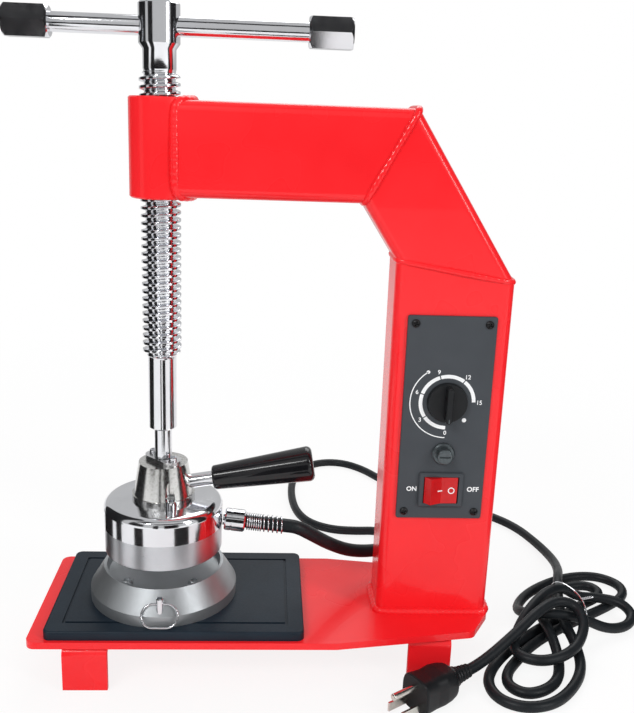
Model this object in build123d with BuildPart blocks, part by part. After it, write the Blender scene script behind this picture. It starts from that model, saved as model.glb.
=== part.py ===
"""Bench press for vulcanizing patches on tyres and tubes, in millimetres.

A welded C-frame carries a screw over a lower platen. The screw pushes down a
heated head through a ball, so that the head does not turn with it. +Z is up,
the table is at Z 0, the press looks along -Y, and the origin lies on the table
in the middle of the press's outer box, its cord left out.
"""
from build123d import *
import math
import os

os.makedirs("parts", exist_ok=True)

# ---------------------------------------------------------------- driving sizes
screw_x = -70.0             # the screw's axis, left of the origin
fit = 0.05                  # radial play of a running fit
clear = 0.3                 # gap between faces that pass each other

# base plate and its two feet
foot_height = 32.0
foot_width = 30.0
foot_strip = 4.0
foot_bend = 6.0
foot_edge = 2.0
left_foot_x = -47.0         # foot's middle, from the screw's axis
right_foot_x = 189.5
right_foot_half = 47.5
plate_thickness = 5.0
plate_half_depth = 60.0
plate_left = 86.0           # screw's axis to the plate's left edge
plate_bend_x = 123.0        # where the plate starts to narrow
plate_shoulder = (220.0, 45.0)
plate_end = (235.0, 20.0)
plate_corner = 6.0

# rubber mat
mat_left = 75.0
mat_right = 100.5
mat_half_depth = 57.5
mat_thickness = 6.5
mat_corner = 5.0
mat_edge = 1.5
groove_inset = 11.0
groove_width = 2.0
groove_depth = 1.0

# rectangular tubes of the frame
throat = 154.0              # screw's axis to the column's near face
column_width = 80.0
arm_height = 60.0
tube_depth = 40.0
tube_wall = 3.0
tube_corner = 6.0
arm_bottom = 328.5
elbow_past = 9.5            # upper mitre's outer corner, past the column's near face
diagonal_angle = 57.0       # the diagonal's slope
weld_size = 3.0

# boss with the press thread
boss_diameter = 40.0
boss_proud = 1.5            # how far the boss stands proud of the arm
arm_end_x = 12.0            # where the arm's walls stop short of the boss

# press screw
screw_diameter = 26.0
screw_head_top = 446.5
screw_head_height = 24.8
screw_head_chamfer = 1.6
neck_diameter = 21.0
neck_cone = 3.4
neck_bottom = 406.7
thread_bottom = 222.0
shank_diameter = 19.0
shank_bottom = 169.0
shank_chamfer = 2.5
tip_diameter = 12.0
tip_bottom = 132.0

# tommy bar
bar_diameter = 12.0
bar_height = 432.0
bar_length = 216.0          # over both knobs
bar_offset = 13.0           # the bar's middle, right of the screw's axis
knob_flats = 19.0
knob_length = 28.0
knob_chamfer = 2.0
knob_socket = 14.0          # how deep the bar sits in a knob

# heated head
heater_diameter = 82.5
heater_bottom = 79.0
heater_top = 98.0
heater_recess = 68.0
heater_recess_depth = 7.0
housing_diameter = 83.5
housing_side_top = 111.0
housing_shoulder = 36.0
housing_shoulder_top = 116.8
housing_top_radius = 24.0
housing_top = 117.6
housing_wall = 2.0
element_thickness = 2.5
insulation_thickness = 4.0
thermostat_size = (24.0, 14.0, 8.0)
cone_foot_diameter = 44.0
cone_foot_top = 121.0
cone_bottom_diameter = 42.0
cone_top_diameter = 34.0
cone_top = 144.0
ball_diameter = 9.6
keeper_thickness = 3.0
keeper_width = 15.0
keeper_length = 31.0
keeper_groove = 8.4         # diameter of the tip where the keeper grips it
keeper_screw_at = 10.6
keeper_screw_turn = -45.0
keeper_head = 6.0
cap_screw_at = 23.2
cap_screw_turn = -71.0
cap_head = 8.0
cap_head_height = 5.4
cap_socket = 4.0
scallop_play = 0.6

# head's handle
handle_slope = 9.8
handle_rod = 10.0
handle_start = (14.0, 127.9)    # axis inside the cone, from the screw's axis
handle_bare = 21.1              # rod's length up to the grip, from that start
grip_length = 72.0
grip_near = 17.0
grip_far = 25.5
grip_round = 4.0
grip_socket = 40.0

# head lead with its coupling and spring
lead_diameter = 9.8
lead_slope = -6.5
coupling_at = (41.2, 100.2)
coupling_neck = (9.0, 5.0)
coupling_tube = (16.0, 12.0)
coupling_chamfer = 1.2
spring_wire = 1.1
spring_gap = 0.3
close_turns = 7
close_pitch = 1.6
open_turns = 5
open_pitch = 3.2
lead_entry = (199.0, 60.0)      # grommet in the column's rear wall
grommet_flange = (17.0, 3.0)

# lower platen
platen_diameter = 104.0
platen_band = 8.0
platen_lip_diameter = 85.0
platen_height = 23.5        # heights on the platen are from the mat up
platen_lip_width = 2.0
platen_recess_diameter = 78.0
platen_floor_height = 18.0
platen_screw_circle = 66.0
platen_screw_count = 4
platen_screw_head = 8.0
platen_screw_height = 2.4
pin_x = 2.5
pin_y = -48.5
pin_diameter = 5.0
pin_height = 20.5
pin_seat_height = 3.5
ring_axis_height = 15.9
ring_wire = 1.4
ring_width = 26.0
ring_length = 17.0
ring_lean = 63.0
ring_bore = 1.9

# control panel on the column's front
panel_width = 60.0
panel_height = 145.0
panel_thickness = 2.0
panel_bottom = 112.5
panel_corner = 1.5
panel_screw_inset = 5.3
panel_screw_head = (6.6, 2.2)
panel_screw_shank = 3.4
window_width = 42.0
window_inset = 6.5          # heights on the panel are from its lower edge up
window_height = 104.0
dial_height = 85.4
timer_size = (36.0, 28.0, 38.0)
timer_shaft_diameter = 6.0
timer_bush_diameter = 9.6
knob_skirt_diameter = 28.0
knob_skirt_height = 3.4
knob_grip = (4.4, 24.4, 11.0)
knob_lift = 0.5
fuse_height = 48.5
fuse_body = (12.0, 24.0)
fuse_flange = (15.6, 2.4)
fuse_cap_size = (10.6, 5.5)
fuse_diameter = 5.0
fuse_length = 20.0
fuse_plug = 7.4
switch_height = 21.9
bezel_width = 31.0
bezel_height = 25.0
bezel_thickness = 2.2
switch_body = (27.0, 21.5, 18.0)
rocker_width = 24.0
rocker_height = 19.0
rocker_ridge = 7.6          # ridge of the raised half, from the rocker's middle
rocker_proud = 3.9
rocker_trunnion = 3.0

# mains cord
cord_diameter = 7.8
gland_at = (206.0, 92.0)
gland_nut = 17.0
gland_length = 22.0
terminal_size = (24.0, 12.0, 20.0)

# ---------------------------------------------------------------- derived places
plate_top = foot_height + plate_thickness
mat_top = plate_top + mat_thickness
arm_top = arm_bottom + arm_height
arm_mid = arm_bottom + arm_height / 2
boss_bottom = arm_bottom - boss_proud
boss_top = arm_top + boss_proud
elbow_x = throat + elbow_past
platen_lip_top = mat_top + platen_height
platen_floor = mat_top + platen_floor_height
pin_top = mat_top + pin_height
pin_seat = mat_top + pin_seat_height
ring_axis_z = mat_top + ring_axis_height
window_bottom = panel_bottom + window_inset
dial_z = panel_bottom + dial_height
fuse_z = panel_bottom + fuse_height
switch_z = panel_bottom + switch_height
column_x = screw_x + throat + column_width / 2
column_front = -tube_depth / 2
column_back = tube_depth / 2
panel_front = column_front - panel_thickness
panel_x = column_x - 0.5
slope = math.radians(diagonal_angle)
run_x = math.cos(slope)
run_z = math.sin(slope)
elbow = (screw_x + elbow_x, arm_top)
inner_start = (elbow[0] - arm_height * run_z, elbow[1] - arm_height * run_x)
elbow_in = (inner_start[0] + (inner_start[1] - arm_bottom) * run_x / run_z, arm_bottom)
column_left = column_x - column_width / 2
column_right = column_x + column_width / 2
knee = (column_right, elbow[1] - (column_right - elbow[0]) * run_z / run_x)
knee_in = (column_left, inner_start[1] - (column_left - inner_start[0]) * run_z / run_x)

screw_line = Axis((screw_x, 0, 0), (0, 0, 1))
axial = Plane(origin=(screw_x, 0, 0), x_dir=(1, 0, 0), z_dir=(0, -1, 0))


def across(corner, opposite):
    """Plane through two points of the XZ plane, square to it, facing up."""
    along = Vector(opposite[0] - corner[0], 0, opposite[1] - corner[1]).normalized()
    return Plane(origin=(corner[0], 0, corner[1]), x_dir=along, z_dir=along.cross(Vector(0, 1, 0)))


def level(x, y, z):
    """Level plane with its origin x, y from the screw's axis, at height z."""
    return Plane.XY.offset(z).move(Location((screw_x + x, y, 0)))


def facing_front(x, y, z):
    """Upright plane at depth y that looks along -Y, its own up being +Z."""
    return Plane(origin=(x, y, z), x_dir=(1, 0, 0), z_dir=(0, -1, 0))


def facing_back(x, y, z):
    """Upright plane at depth y that looks along +Y."""
    return Plane(origin=(x, y, z), x_dir=(-1, 0, 0), z_dir=(0, 1, 0))


# ---------------------------------------------------------------- base and feet
with BuildPart() as base_plate:
    with BuildSketch(level(0, 0, foot_height)):
        with BuildLine():
            front = Polyline(
                (-plate_left, 0),
                (-plate_left, -plate_half_depth),
                (plate_bend_x, -plate_half_depth),
                (plate_shoulder[0], -plate_shoulder[1]),
                (plate_end[0], -plate_end[1]),
                (plate_end[0], 0),
            )
            mirror(front, about=Plane.XZ)
        make_face()
    extrude(amount=plate_thickness)
    fillet(base_plate.edges().filter_by(Axis.Z), plate_corner)

base_plate.part.label = "base_plate"
export_step(base_plate.part, "parts/base_plate.step")


def foot_strip_at(foot_x, half_depth):
    """A flat strip bent into two legs, welded under the plate."""
    with BuildPart() as foot:
        side = Plane(origin=(screw_x + foot_x, 0, 0), x_dir=(0, 1, 0), z_dir=(1, 0, 0))
        with BuildSketch(side):
            with BuildLine():
                FilletPolyline(
                    (-half_depth, 0),
                    (-half_depth, foot_height),
                    (half_depth, foot_height),
                    (half_depth, 0),
                    radius=foot_bend,
                )
                offset(amount=-foot_strip, side=Side.RIGHT)
            make_face()
        extrude(amount=foot_width / 2, both=True)
        legs = foot.faces().filter_by(Axis.Z).group_by(Axis.Z)[0]
        fillet(legs.edges().filter_by(Axis.X), foot_strip / 4)
    return foot


left_foot = foot_strip_at(left_foot_x, plate_half_depth)
left_foot.part.label = "left_foot"
export_step(left_foot.part, "parts/left_foot.step")

right_foot = foot_strip_at(right_foot_x, right_foot_half)
right_foot.part.label = "right_foot"
export_step(right_foot.part, "parts/right_foot.step")

with BuildPart() as rubber_mat:
    with BuildSketch(level((mat_right - mat_left) / 2, 0, plate_top)):
        RectangleRounded(mat_left + mat_right, 2 * mat_half_depth, mat_corner)
    extrude(amount=mat_thickness)
    fillet(rubber_mat.faces().sort_by(Axis.Z)[-1].edges(), mat_edge)
    with BuildSketch(level((mat_right - mat_left) / 2, 0, mat_top)):
        groove_long = mat_left + mat_right - 2 * groove_inset
        groove_deep = 2 * (mat_half_depth - groove_inset)
        Rectangle(groove_long, groove_deep)
        Rectangle(groove_long - 2 * groove_width, groove_deep - 2 * groove_width, mode=Mode.SUBTRACT)
    extrude(amount=-groove_depth, mode=Mode.SUBTRACT)

rubber_mat.part.label = "rubber_mat"
export_step(rubber_mat.part, "parts/rubber_mat.step")

# ---------------------------------------------------------------- welded frame
upper_mitre = across(elbow_in, elbow)
lower_mitre = across(knee_in, knee)

with BuildPart() as column_tube:
    with BuildSketch(Plane(origin=(column_x, 0, plate_top))):
        RectangleRounded(column_width, tube_depth, tube_corner)
        RectangleRounded(
            column_width - 2 * tube_wall,
            tube_depth - 2 * tube_wall,
            tube_corner - tube_wall,
            mode=Mode.SUBTRACT,
        )
    extrude(amount=knee_in[1] - plate_top + tube_wall)
    split(bisect_by=lower_mitre, keep=Keep.BOTTOM)
    # window behind the panel
    with BuildSketch(facing_front(panel_x, 0, window_bottom + window_height / 2)):
        RectangleRounded(window_width, window_height, tube_wall)
    extrude(amount=tube_depth, mode=Mode.SUBTRACT)
    # holes for the panel's screws
    with Locations(facing_front(panel_x, 0, panel_bottom + panel_height / 2)):
        with GridLocations(panel_width - 2 * panel_screw_inset, panel_height - 2 * panel_screw_inset, 2, 2):
            Cylinder(panel_screw_shank / 2, tube_depth, align=(Align.CENTER, Align.CENTER, Align.MIN), mode=Mode.SUBTRACT)
    # holes for the head lead's grommet and the cord's gland
    with Locations(facing_back(screw_x + lead_entry[0], 0, lead_entry[1])):
        Cylinder(lead_diameter / 2 + 1.5, tube_depth, align=(Align.CENTER, Align.CENTER, Align.MIN), mode=Mode.SUBTRACT)
    with Locations(facing_back(screw_x + gland_at[0], 0, gland_at[1])):
        Cylinder(gland_nut / 2 - 2, tube_depth, align=(Align.CENTER, Align.CENTER, Align.MIN), mode=Mode.SUBTRACT)

column_tube.part.label = "column_tube"
export_step(column_tube.part, "parts/column_tube.step")

with BuildPart() as diagonal_tube:
    middle = Vector((elbow[0] + inner_start[0]) / 2, 0, (elbow[1] + inner_start[1]) / 2)
    down = Vector(run_x, 0, -run_z)
    with BuildSketch(Plane(origin=middle - down * arm_height, x_dir=(run_z, 0, run_x), z_dir=down)):
        RectangleRounded(arm_height, tube_depth, tube_corner)
        RectangleRounded(
            arm_height - 2 * tube_wall,
            tube_depth - 2 * tube_wall,
            tube_corner - tube_wall,
            mode=Mode.SUBTRACT,
        )
    extrude(amount=arm_height + 2 * column_width + (elbow[1] - knee[1]))
    split(bisect_by=lower_mitre, keep=Keep.TOP)
    split(bisect_by=upper_mitre, keep=Keep.BOTTOM)

diagonal_tube.part.label = "diagonal_tube"
export_step(diagonal_tube.part, "parts/diagonal_tube.step")

with BuildPart() as arm_tube:
    with BuildSketch(Plane(origin=(screw_x + arm_end_x, 0, arm_mid), x_dir=(0, 1, 0), z_dir=(1, 0, 0))):
        RectangleRounded(tube_depth, arm_height, tube_corner)
        RectangleRounded(
            tube_depth - 2 * tube_wall,
            arm_height - 2 * tube_wall,
            tube_corner - tube_wall,
            mode=Mode.SUBTRACT,
        )
    extrude(amount=elbow_x)
    split(bisect_by=upper_mitre, keep=Keep.TOP)
    with BuildSketch(level(0, 0, boss_bottom)):
        Circle(boss_diameter / 2)
    extrude(amount=boss_top - boss_bottom, mode=Mode.SUBTRACT)

arm_tube.part.label = "arm_tube"
export_step(arm_tube.part, "parts/arm_tube.step")

with BuildPart() as screw_boss:
    with BuildSketch(level(0, 0, boss_bottom)):
        Circle(boss_diameter / 2)
        Circle(screw_diameter / 2 + fit, mode=Mode.SUBTRACT)
    extrude(amount=boss_top - boss_bottom)
    outer = screw_boss.edges().filter_by(GeomType.CIRCLE).sort_by(SortBy.RADIUS)[-2:]
    chamfer(outer, 1.0)

screw_boss.part.label = "screw_boss"
export_step(screw_boss.part, "parts/screw_boss.step")

# ---------------------------------------------------------------- press screw
head_bottom = screw_head_top - screw_head_height
keeper_top = cone_top + keeper_thickness

with BuildPart() as press_screw:
    with BuildSketch(axial):
        with BuildLine():
            Polyline(
                (0, tip_bottom),
                (tip_diameter / 2 - 1, tip_bottom),
                (tip_diameter / 2, tip_bottom + 1),
                (tip_diameter / 2, cone_top - clear),
                (keeper_groove / 2, cone_top - clear),
                (keeper_groove / 2, keeper_top + clear),
                (tip_diameter / 2, keeper_top + clear),
                (tip_diameter / 2, shank_bottom),
                (shank_diameter / 2 - 1, shank_bottom),
                (shank_diameter / 2, shank_bottom + 1),
                (shank_diameter / 2, thread_bottom - shank_chamfer),
                (screw_diameter / 2, thread_bottom),
                (screw_diameter / 2, neck_bottom - shank_chamfer),
                (neck_diameter / 2, neck_bottom),
                (neck_diameter / 2, head_bottom - neck_cone),
                (screw_diameter / 2, head_bottom),
                (screw_diameter / 2, screw_head_top - screw_head_chamfer),
                (screw_diameter / 2 - screw_head_chamfer, screw_head_top),
                (0, screw_head_top),
                close=True,
            )
        make_face()
    revolve(axis=screw_line)
    with BuildSketch(Plane(origin=(screw_x, 0, bar_height), x_dir=(0, 1, 0), z_dir=(1, 0, 0))):
        Circle(bar_diameter / 2 + fit)
    extrude(amount=screw_diameter, both=True, mode=Mode.SUBTRACT)

press_screw.part.label = "press_screw"
export_step(press_screw.part, "parts/press_screw.step")

# the bar slides in the screw's head until a knob meets it
bar_left = screw_x + bar_offset - bar_length / 2
bar_right = bar_left + bar_length
rod_length = bar_length - 2 * (knob_length - knob_socket)

with BuildPart() as tommy_bar:
    rod_start = bar_left + knob_length - knob_socket
    with BuildSketch(Plane(origin=(rod_start, 0, bar_height), x_dir=(0, 1, 0), z_dir=(1, 0, 0))):
        Circle(bar_diameter / 2)
    extrude(amount=rod_length)

tommy_bar.part.label = "tommy_bar"
export_step(tommy_bar.part, "parts/tommy_bar.step")


def bar_knob(outer_x, inward):
    """A chamfered hexagon pressed on the bar, one of its edges to the front."""
    with BuildPart() as knob:
        end = Plane(origin=(outer_x, 0, bar_height), x_dir=(0, 1, 0), z_dir=(inward, 0, 0))
        with BuildSketch(end):
            RegularPolygon(knob_flats / 2, 6, major_radius=False)
        extrude(amount=knob_length)
        with BuildSketch(axial_bar):
            with BuildLine():
                corner_radius = knob_flats / math.sqrt(3)
                Polyline(
                    (outer_x, 0),
                    (outer_x, corner_radius - knob_chamfer),
                    (outer_x + inward * knob_chamfer, corner_radius),
                    (outer_x + inward * (knob_length - knob_chamfer), corner_radius),
                    (outer_x + inward * knob_length, corner_radius - knob_chamfer),
                    (outer_x + inward * knob_length, 0),
                    close=True,
                )
            make_face()
        revolve(axis=Axis((0, 0, bar_height), (1, 0, 0)), mode=Mode.INTERSECT)
        with BuildSketch(end.offset(knob_length - knob_socket)):
            Circle(bar_diameter / 2)
        extrude(amount=knob_socket, mode=Mode.SUBTRACT)
    return knob


axial_bar = Plane(origin=(0, 0, bar_height), x_dir=(1, 0, 0), z_dir=(0, -1, 0))
left_knob = bar_knob(bar_left, 1)
left_knob.part.label = "left_bar_knob"
export_step(left_knob.part, "parts/left_bar_knob.step")

right_knob = bar_knob(bar_right, -1)
right_knob.part.label = "right_bar_knob"
export_step(right_knob.part, "parts/right_bar_knob.step")

# ---------------------------------------------------------------- heated head
tip_bore = tip_diameter / 2 + clear
ball_z = tip_bottom - clear / 2 - ball_diameter / 2
seat_z = ball_z - ball_diameter / 2 - clear / 2
foot_bottom = housing_top


def around(radius, turn, z):
    """Level plane at a radius and an angle from the screw's axis."""
    angle = math.radians(turn)
    return level(radius * math.cos(angle), radius * math.sin(angle), z)


with BuildPart() as thrust_ball:
    with BuildSketch(axial):
        with BuildLine():
            CenterArc((0, ball_z), ball_diameter / 2, -90, 180)
            Line((0, ball_z - ball_diameter / 2), (0, ball_z + ball_diameter / 2))
        make_face()
    revolve(axis=screw_line)

thrust_ball.part.label = "thrust_ball"
export_step(thrust_ball.part, "parts/thrust_ball.step")

handle_tilt = math.radians(handle_slope)
handle_way = Vector(math.cos(handle_tilt), 0, math.sin(handle_tilt))
handle_root = Vector(screw_x + handle_start[0], 0, handle_start[1])
handle_plane = Plane(origin=handle_root, x_dir=(0, 1, 0), z_dir=handle_way)

with BuildPart() as head_cone:
    with BuildSketch(axial):
        with BuildLine():
            Polyline(
                (0, foot_bottom),
                (cone_foot_diameter / 2, foot_bottom),
                (cone_foot_diameter / 2, cone_foot_top),
                (cone_bottom_diameter / 2, cone_foot_top),
                (cone_top_diameter / 2, cone_top),
                (tip_bore, cone_top),
                (tip_bore, seat_z),
                (0, seat_z),
                close=True,
            )
        make_face()
    revolve(axis=screw_line)
    # scallops for the two cap screws that clamp the foot to the housing
    for turn in (cap_screw_turn, cap_screw_turn + 180):
        with BuildSketch(around(cap_screw_at, turn, foot_bottom)):
            Circle(cap_head / 2 + scallop_play)
        extrude(amount=cone_top - foot_bottom, mode=Mode.SUBTRACT)
    # tapped holes for the keeper's screws and the handle's rod
    for turn in (keeper_screw_turn, keeper_screw_turn + 180):
        with BuildSketch(around(keeper_screw_at, turn, cone_top)):
            Circle(keeper_head / 4)
        extrude(amount=-keeper_head, mode=Mode.SUBTRACT)
    with BuildSketch(handle_plane):
        Circle(handle_rod / 2)
    extrude(amount=cone_foot_diameter, mode=Mode.SUBTRACT)

head_cone.part.label = "head_cone"
export_step(head_cone.part, "parts/head_cone.step")

with BuildPart() as keeper_plate:
    with BuildSketch(level(0, 0, cone_top).rotated((0, 0, keeper_screw_turn))):
        SlotOverall(keeper_length, keeper_width)
        Circle(keeper_groove / 2 + clear, mode=Mode.SUBTRACT)
        with Locations((0, keeper_width / 2)):
            Rectangle(keeper_groove + 2 * clear, keeper_width, mode=Mode.SUBTRACT)
        with Locations((-keeper_screw_at, 0), (keeper_screw_at, 0)):
            Circle(keeper_head / 4, mode=Mode.SUBTRACT)
    extrude(amount=keeper_thickness)

keeper_plate.part.label = "keeper_plate"
export_step(keeper_plate.part, "parts/keeper_plate.step")


def cap_screw(radius, turn, seat, head, height, shank, depth):
    """A cap screw with a hexagon socket, its head on a level seat."""
    with BuildPart() as screw:
        with BuildSketch(around(radius, turn, seat)):
            Circle(head / 2)
        extrude(amount=height)
        top = screw.faces().sort_by(Axis.Z)[-1]
        chamfer(top.edges(), head / 16)
        with BuildSketch(around(radius, turn, seat + height)):
            RegularPolygon(head / 4, 6, major_radius=False)
        extrude(amount=-height / 2, mode=Mode.SUBTRACT)
        if depth > 0:
            with BuildSketch(around(radius, turn, seat)):
                Circle(shank / 2)
            extrude(amount=-depth)
    return screw


for side, turn in (("front", keeper_screw_turn), ("rear", keeper_screw_turn + 180)):
    keeper_screw = cap_screw(keeper_screw_at, turn, keeper_top, keeper_head, 2.6, keeper_head / 2, 8.0)
    keeper_screw.part.label = f"{side}_keeper_screw"
    export_step(keeper_screw.part, f"parts/{side}_keeper_screw.step")

for side, turn in (("front", cap_screw_turn), ("rear", cap_screw_turn + 180)):
    clamp_screw = cap_screw(cap_screw_at, turn, housing_top, cap_head, cap_head_height, cap_head / 2, 0)
    clamp_screw.part.label = f"{side}_clamp_screw"
    export_step(clamp_screw.part, f"parts/{side}_clamp_screw.step")

with BuildPart() as head_housing:
    outer = housing_diameter / 2
    inner = outer - housing_wall
    with BuildSketch(axial):
        with BuildLine():
            shoulder = ThreePointArc(
                (outer, housing_side_top),
                (outer - 1.75, housing_side_top + 4.1),
                (housing_shoulder, housing_shoulder_top),
            )
            Polyline(
                (housing_shoulder, housing_shoulder_top),
                (housing_top_radius, housing_top),
                (0, housing_top),
                (0, housing_top - housing_wall),
                (housing_shoulder - housing_wall, housing_top - housing_wall - 0.8),
                (inner, housing_side_top),
                (inner, heater_top),
                (outer, heater_top),
                (outer, housing_side_top),
            )
        make_face()
    revolve(axis=screw_line)

head_housing.part.label = "head_housing"
export_step(head_housing.part, "parts/head_housing.step")

recess_floor = heater_top - heater_recess_depth
with BuildPart() as heater_plate:
    with BuildSketch(axial):
        with BuildLine():
            Polyline(
                (0, heater_bottom),
                (heater_diameter / 2 - 1, heater_bottom),
                (heater_diameter / 2, heater_bottom + 1),
                (heater_diameter / 2, heater_top),
                (heater_recess / 2, heater_top),
                (heater_recess / 2, recess_floor),
                (0, recess_floor),
                close=True,
            )
        make_face()
    revolve(axis=screw_line)

heater_plate.part.label = "heater_plate"
export_step(heater_plate.part, "parts/heater_plate.step")

with BuildPart() as heating_element:
    with BuildSketch(level(0, 0, recess_floor)):
        Circle(heater_recess / 2 - clear)
        Circle(ball_diameter, mode=Mode.SUBTRACT)
    extrude(amount=element_thickness)

heating_element.part.label = "heating_element"
export_step(heating_element.part, "parts/heating_element.step")

with BuildPart() as insulation_disc:
    with BuildSketch(level(0, 0, recess_floor + element_thickness)):
        Circle(heater_recess / 2 - clear)
    extrude(amount=insulation_thickness)

insulation_disc.part.label = "insulation_disc"
export_step(insulation_disc.part, "parts/insulation_disc.step")

with BuildPart() as thermostat:
    with BuildSketch(level(0, 0, recess_floor + element_thickness + insulation_thickness)):
        RectangleRounded(thermostat_size[0], thermostat_size[1], 2)
    extrude(amount=thermostat_size[2])

thermostat.part.label = "thermostat"
export_step(thermostat.part, "parts/thermostat.step")

with BuildPart() as handle_rod_part:
    with BuildSketch(handle_plane):
        Circle(handle_rod / 2)
    extrude(amount=handle_bare + grip_socket)

handle_rod_part.part.label = "handle_rod"
export_step(handle_rod_part.part, "parts/handle_rod.step")

with BuildPart() as handle_grip:
    grip_axis = Plane(origin=handle_plane.origin, x_dir=handle_way, z_dir=(0, -1, 0))
    with BuildSketch(grip_axis):
        with BuildLine():
            FilletPolyline(
                (handle_bare, handle_rod / 2),
                (handle_bare, grip_near / 2),
                (handle_bare + grip_length, grip_far / 2),
                (handle_bare + grip_length, 0),
                radius=(grip_round / 2, grip_round),
            )
            Polyline(
                (handle_bare + grip_length, 0),
                (handle_bare + grip_socket, 0),
                (handle_bare + grip_socket, handle_rod / 2),
                (handle_bare, handle_rod / 2),
            )
        make_face()
    revolve(axis=Axis(handle_root, handle_way))

handle_grip.part.label = "handle_grip"
export_step(handle_grip.part, "parts/handle_grip.step")

# ---------------------------------------------------------------- lead's coupling on the head
coupling_tilt = math.radians(lead_slope)
lead_way = Vector(math.cos(coupling_tilt), 0, math.sin(coupling_tilt))
coupling_root = Vector(screw_x + coupling_at[0], 0, coupling_at[1])


def along_lead(distance):
    """Plane square to the coupling's axis, a distance out from its root."""
    return Plane(origin=coupling_root + lead_way * distance, x_dir=(0, 1, 0), z_dir=lead_way)


coupling_length = coupling_neck[1] + coupling_tube[1]
coupling_bore = lead_diameter + 2 * clear

with BuildPart() as lead_coupling:
    with BuildSketch(along_lead(0)):
        Circle(coupling_neck[0] / 2)
    extrude(amount=coupling_neck[1])
    with BuildSketch(along_lead(coupling_neck[1])):
        Circle(coupling_tube[0] / 2)
    extrude(amount=coupling_tube[1])
    rims = lead_coupling.edges().filter_by(GeomType.CIRCLE).sort_by(SortBy.RADIUS)[-2:]
    chamfer(rims, coupling_chamfer)
    with BuildSketch(along_lead(coupling_neck[1] + 2)):
        Circle(coupling_bore / 2)
    extrude(amount=coupling_length, mode=Mode.SUBTRACT)
    with BuildSketch(level(0, 0, heater_bottom)):
        Circle(housing_diameter / 2)
    extrude(amount=housing_top - heater_bottom, mode=Mode.SUBTRACT)

lead_coupling.part.label = "lead_coupling"
export_step(lead_coupling.part, "parts/lead_coupling.step")


def tube_section(diameter, sides):
    """A regular section with the area of a round one, which keeps a long tube's faces few."""
    turn = 2 * math.pi / sides
    RegularPolygon(diameter / 2 * math.sqrt(turn / math.sin(turn)), sides)


def biarcs(points, ways):
    """Tangent arcs, two between each pair of points, that leave each point along its way."""
    arcs = []
    for start, end, out, into in zip(points, points[1:], ways, ways[1:]):
        chord = end - start
        bend = 2 * out.dot(into) - 2
        reach = chord.dot(out + into)
        if abs(bend) < 1e-9:
            arm = chord.length ** 2 / (2 * reach)
        else:
            arm = (reach - math.sqrt(reach ** 2 - bend * chord.length ** 2)) / bend
        near = start + out * arm
        far = end - into * arm
        meet = (near + far) * 0.5
        arcs.append(TangentArc(start, meet, tangent=out))
        arcs.append(TangentArc(meet, end, tangent=(far - near).normalized()))
    return arcs


# the strain-relief spring: close turns at the coupling, then open ones
spring_radius = lead_diameter / 2 + spring_gap + spring_wire / 2
spring_frame = along_lead(coupling_length + spring_wire / 2 + clear)
half_steps = 2 * (close_turns + open_turns)


def spring_point(step):
    """Middle of the wire after a number of half turns."""
    turns = step / 2
    rise = close_pitch * min(turns, close_turns) + open_pitch * max(turns - close_turns, 0)
    angle = 2 * math.pi * turns
    return spring_frame.from_local_coords(
        Vector(spring_radius * math.cos(angle), spring_radius * math.sin(angle), rise)
    )


def spring_way(step):
    """Direction of the wire there."""
    turns = step / 2
    pitch = close_pitch if turns < close_turns else open_pitch
    if turns == close_turns:
        pitch = (close_pitch + open_pitch) / 2
    angle = 2 * math.pi * turns
    tangent = Vector(-math.sin(angle), math.cos(angle), pitch / (2 * math.pi * spring_radius))
    local = spring_frame.from_local_coords(tangent) - spring_frame.origin
    return local.normalized()


spring_points = [spring_point(step) for step in range(half_steps + 1)]
spring_ways = [spring_way(step) for step in range(half_steps + 1)]

with BuildPart() as relief_spring:
    with BuildLine() as spring_line:
        for arc in biarcs(spring_points, spring_ways):
            add(arc)
    with BuildSketch(Plane(origin=spring_points[0], z_dir=spring_ways[0])):
        Circle(spring_wire / 2)
    sweep()

print("spring: gap between close turns", round(close_pitch - spring_wire, 2))
relief_spring.part.label = "relief_spring"
export_step(relief_spring.part, "parts/relief_spring.step")

# ---------------------------------------------------------------- lower platen
with BuildPart() as lower_platen:
    with BuildSketch(axial):
        with BuildLine():
            Polyline(
                (0, mat_top),
                (platen_diameter / 2, mat_top),
                (platen_diameter / 2, mat_top + platen_band),
                (platen_lip_diameter / 2, platen_lip_top),
                (platen_lip_diameter / 2 - platen_lip_width, platen_lip_top),
                (platen_recess_diameter / 2, platen_floor),
                (0, platen_floor),
                close=True,
            )
        make_face()
    revolve(axis=screw_line)
    with BuildSketch(level(pin_x, pin_y, pin_seat)):
        Circle(pin_diameter / 2 + fit)
    extrude(amount=platen_lip_top - pin_seat, mode=Mode.SUBTRACT)
    for count in range(platen_screw_count):
        turn = 45 + 360 * count / platen_screw_count
        with BuildSketch(around(platen_screw_circle / 2, turn, mat_top)):
            Circle(platen_screw_head / 4)
        extrude(amount=platen_floor - mat_top, mode=Mode.SUBTRACT)

lower_platen.part.label = "lower_platen"
export_step(lower_platen.part, "parts/lower_platen.step")

for count in range(platen_screw_count):
    turn = 45 + 360 * count / platen_screw_count
    shank_length = platen_floor - mat_top
    platen_screw = cap_screw(
        platen_screw_circle / 2, turn, platen_floor, platen_screw_head,
        platen_screw_height, platen_screw_head / 2, shank_length,
    )
    platen_screw.part.label = f"platen_screw_{count + 1}"
    export_step(platen_screw.part, f"parts/platen_screw_{count + 1}.step")

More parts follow.
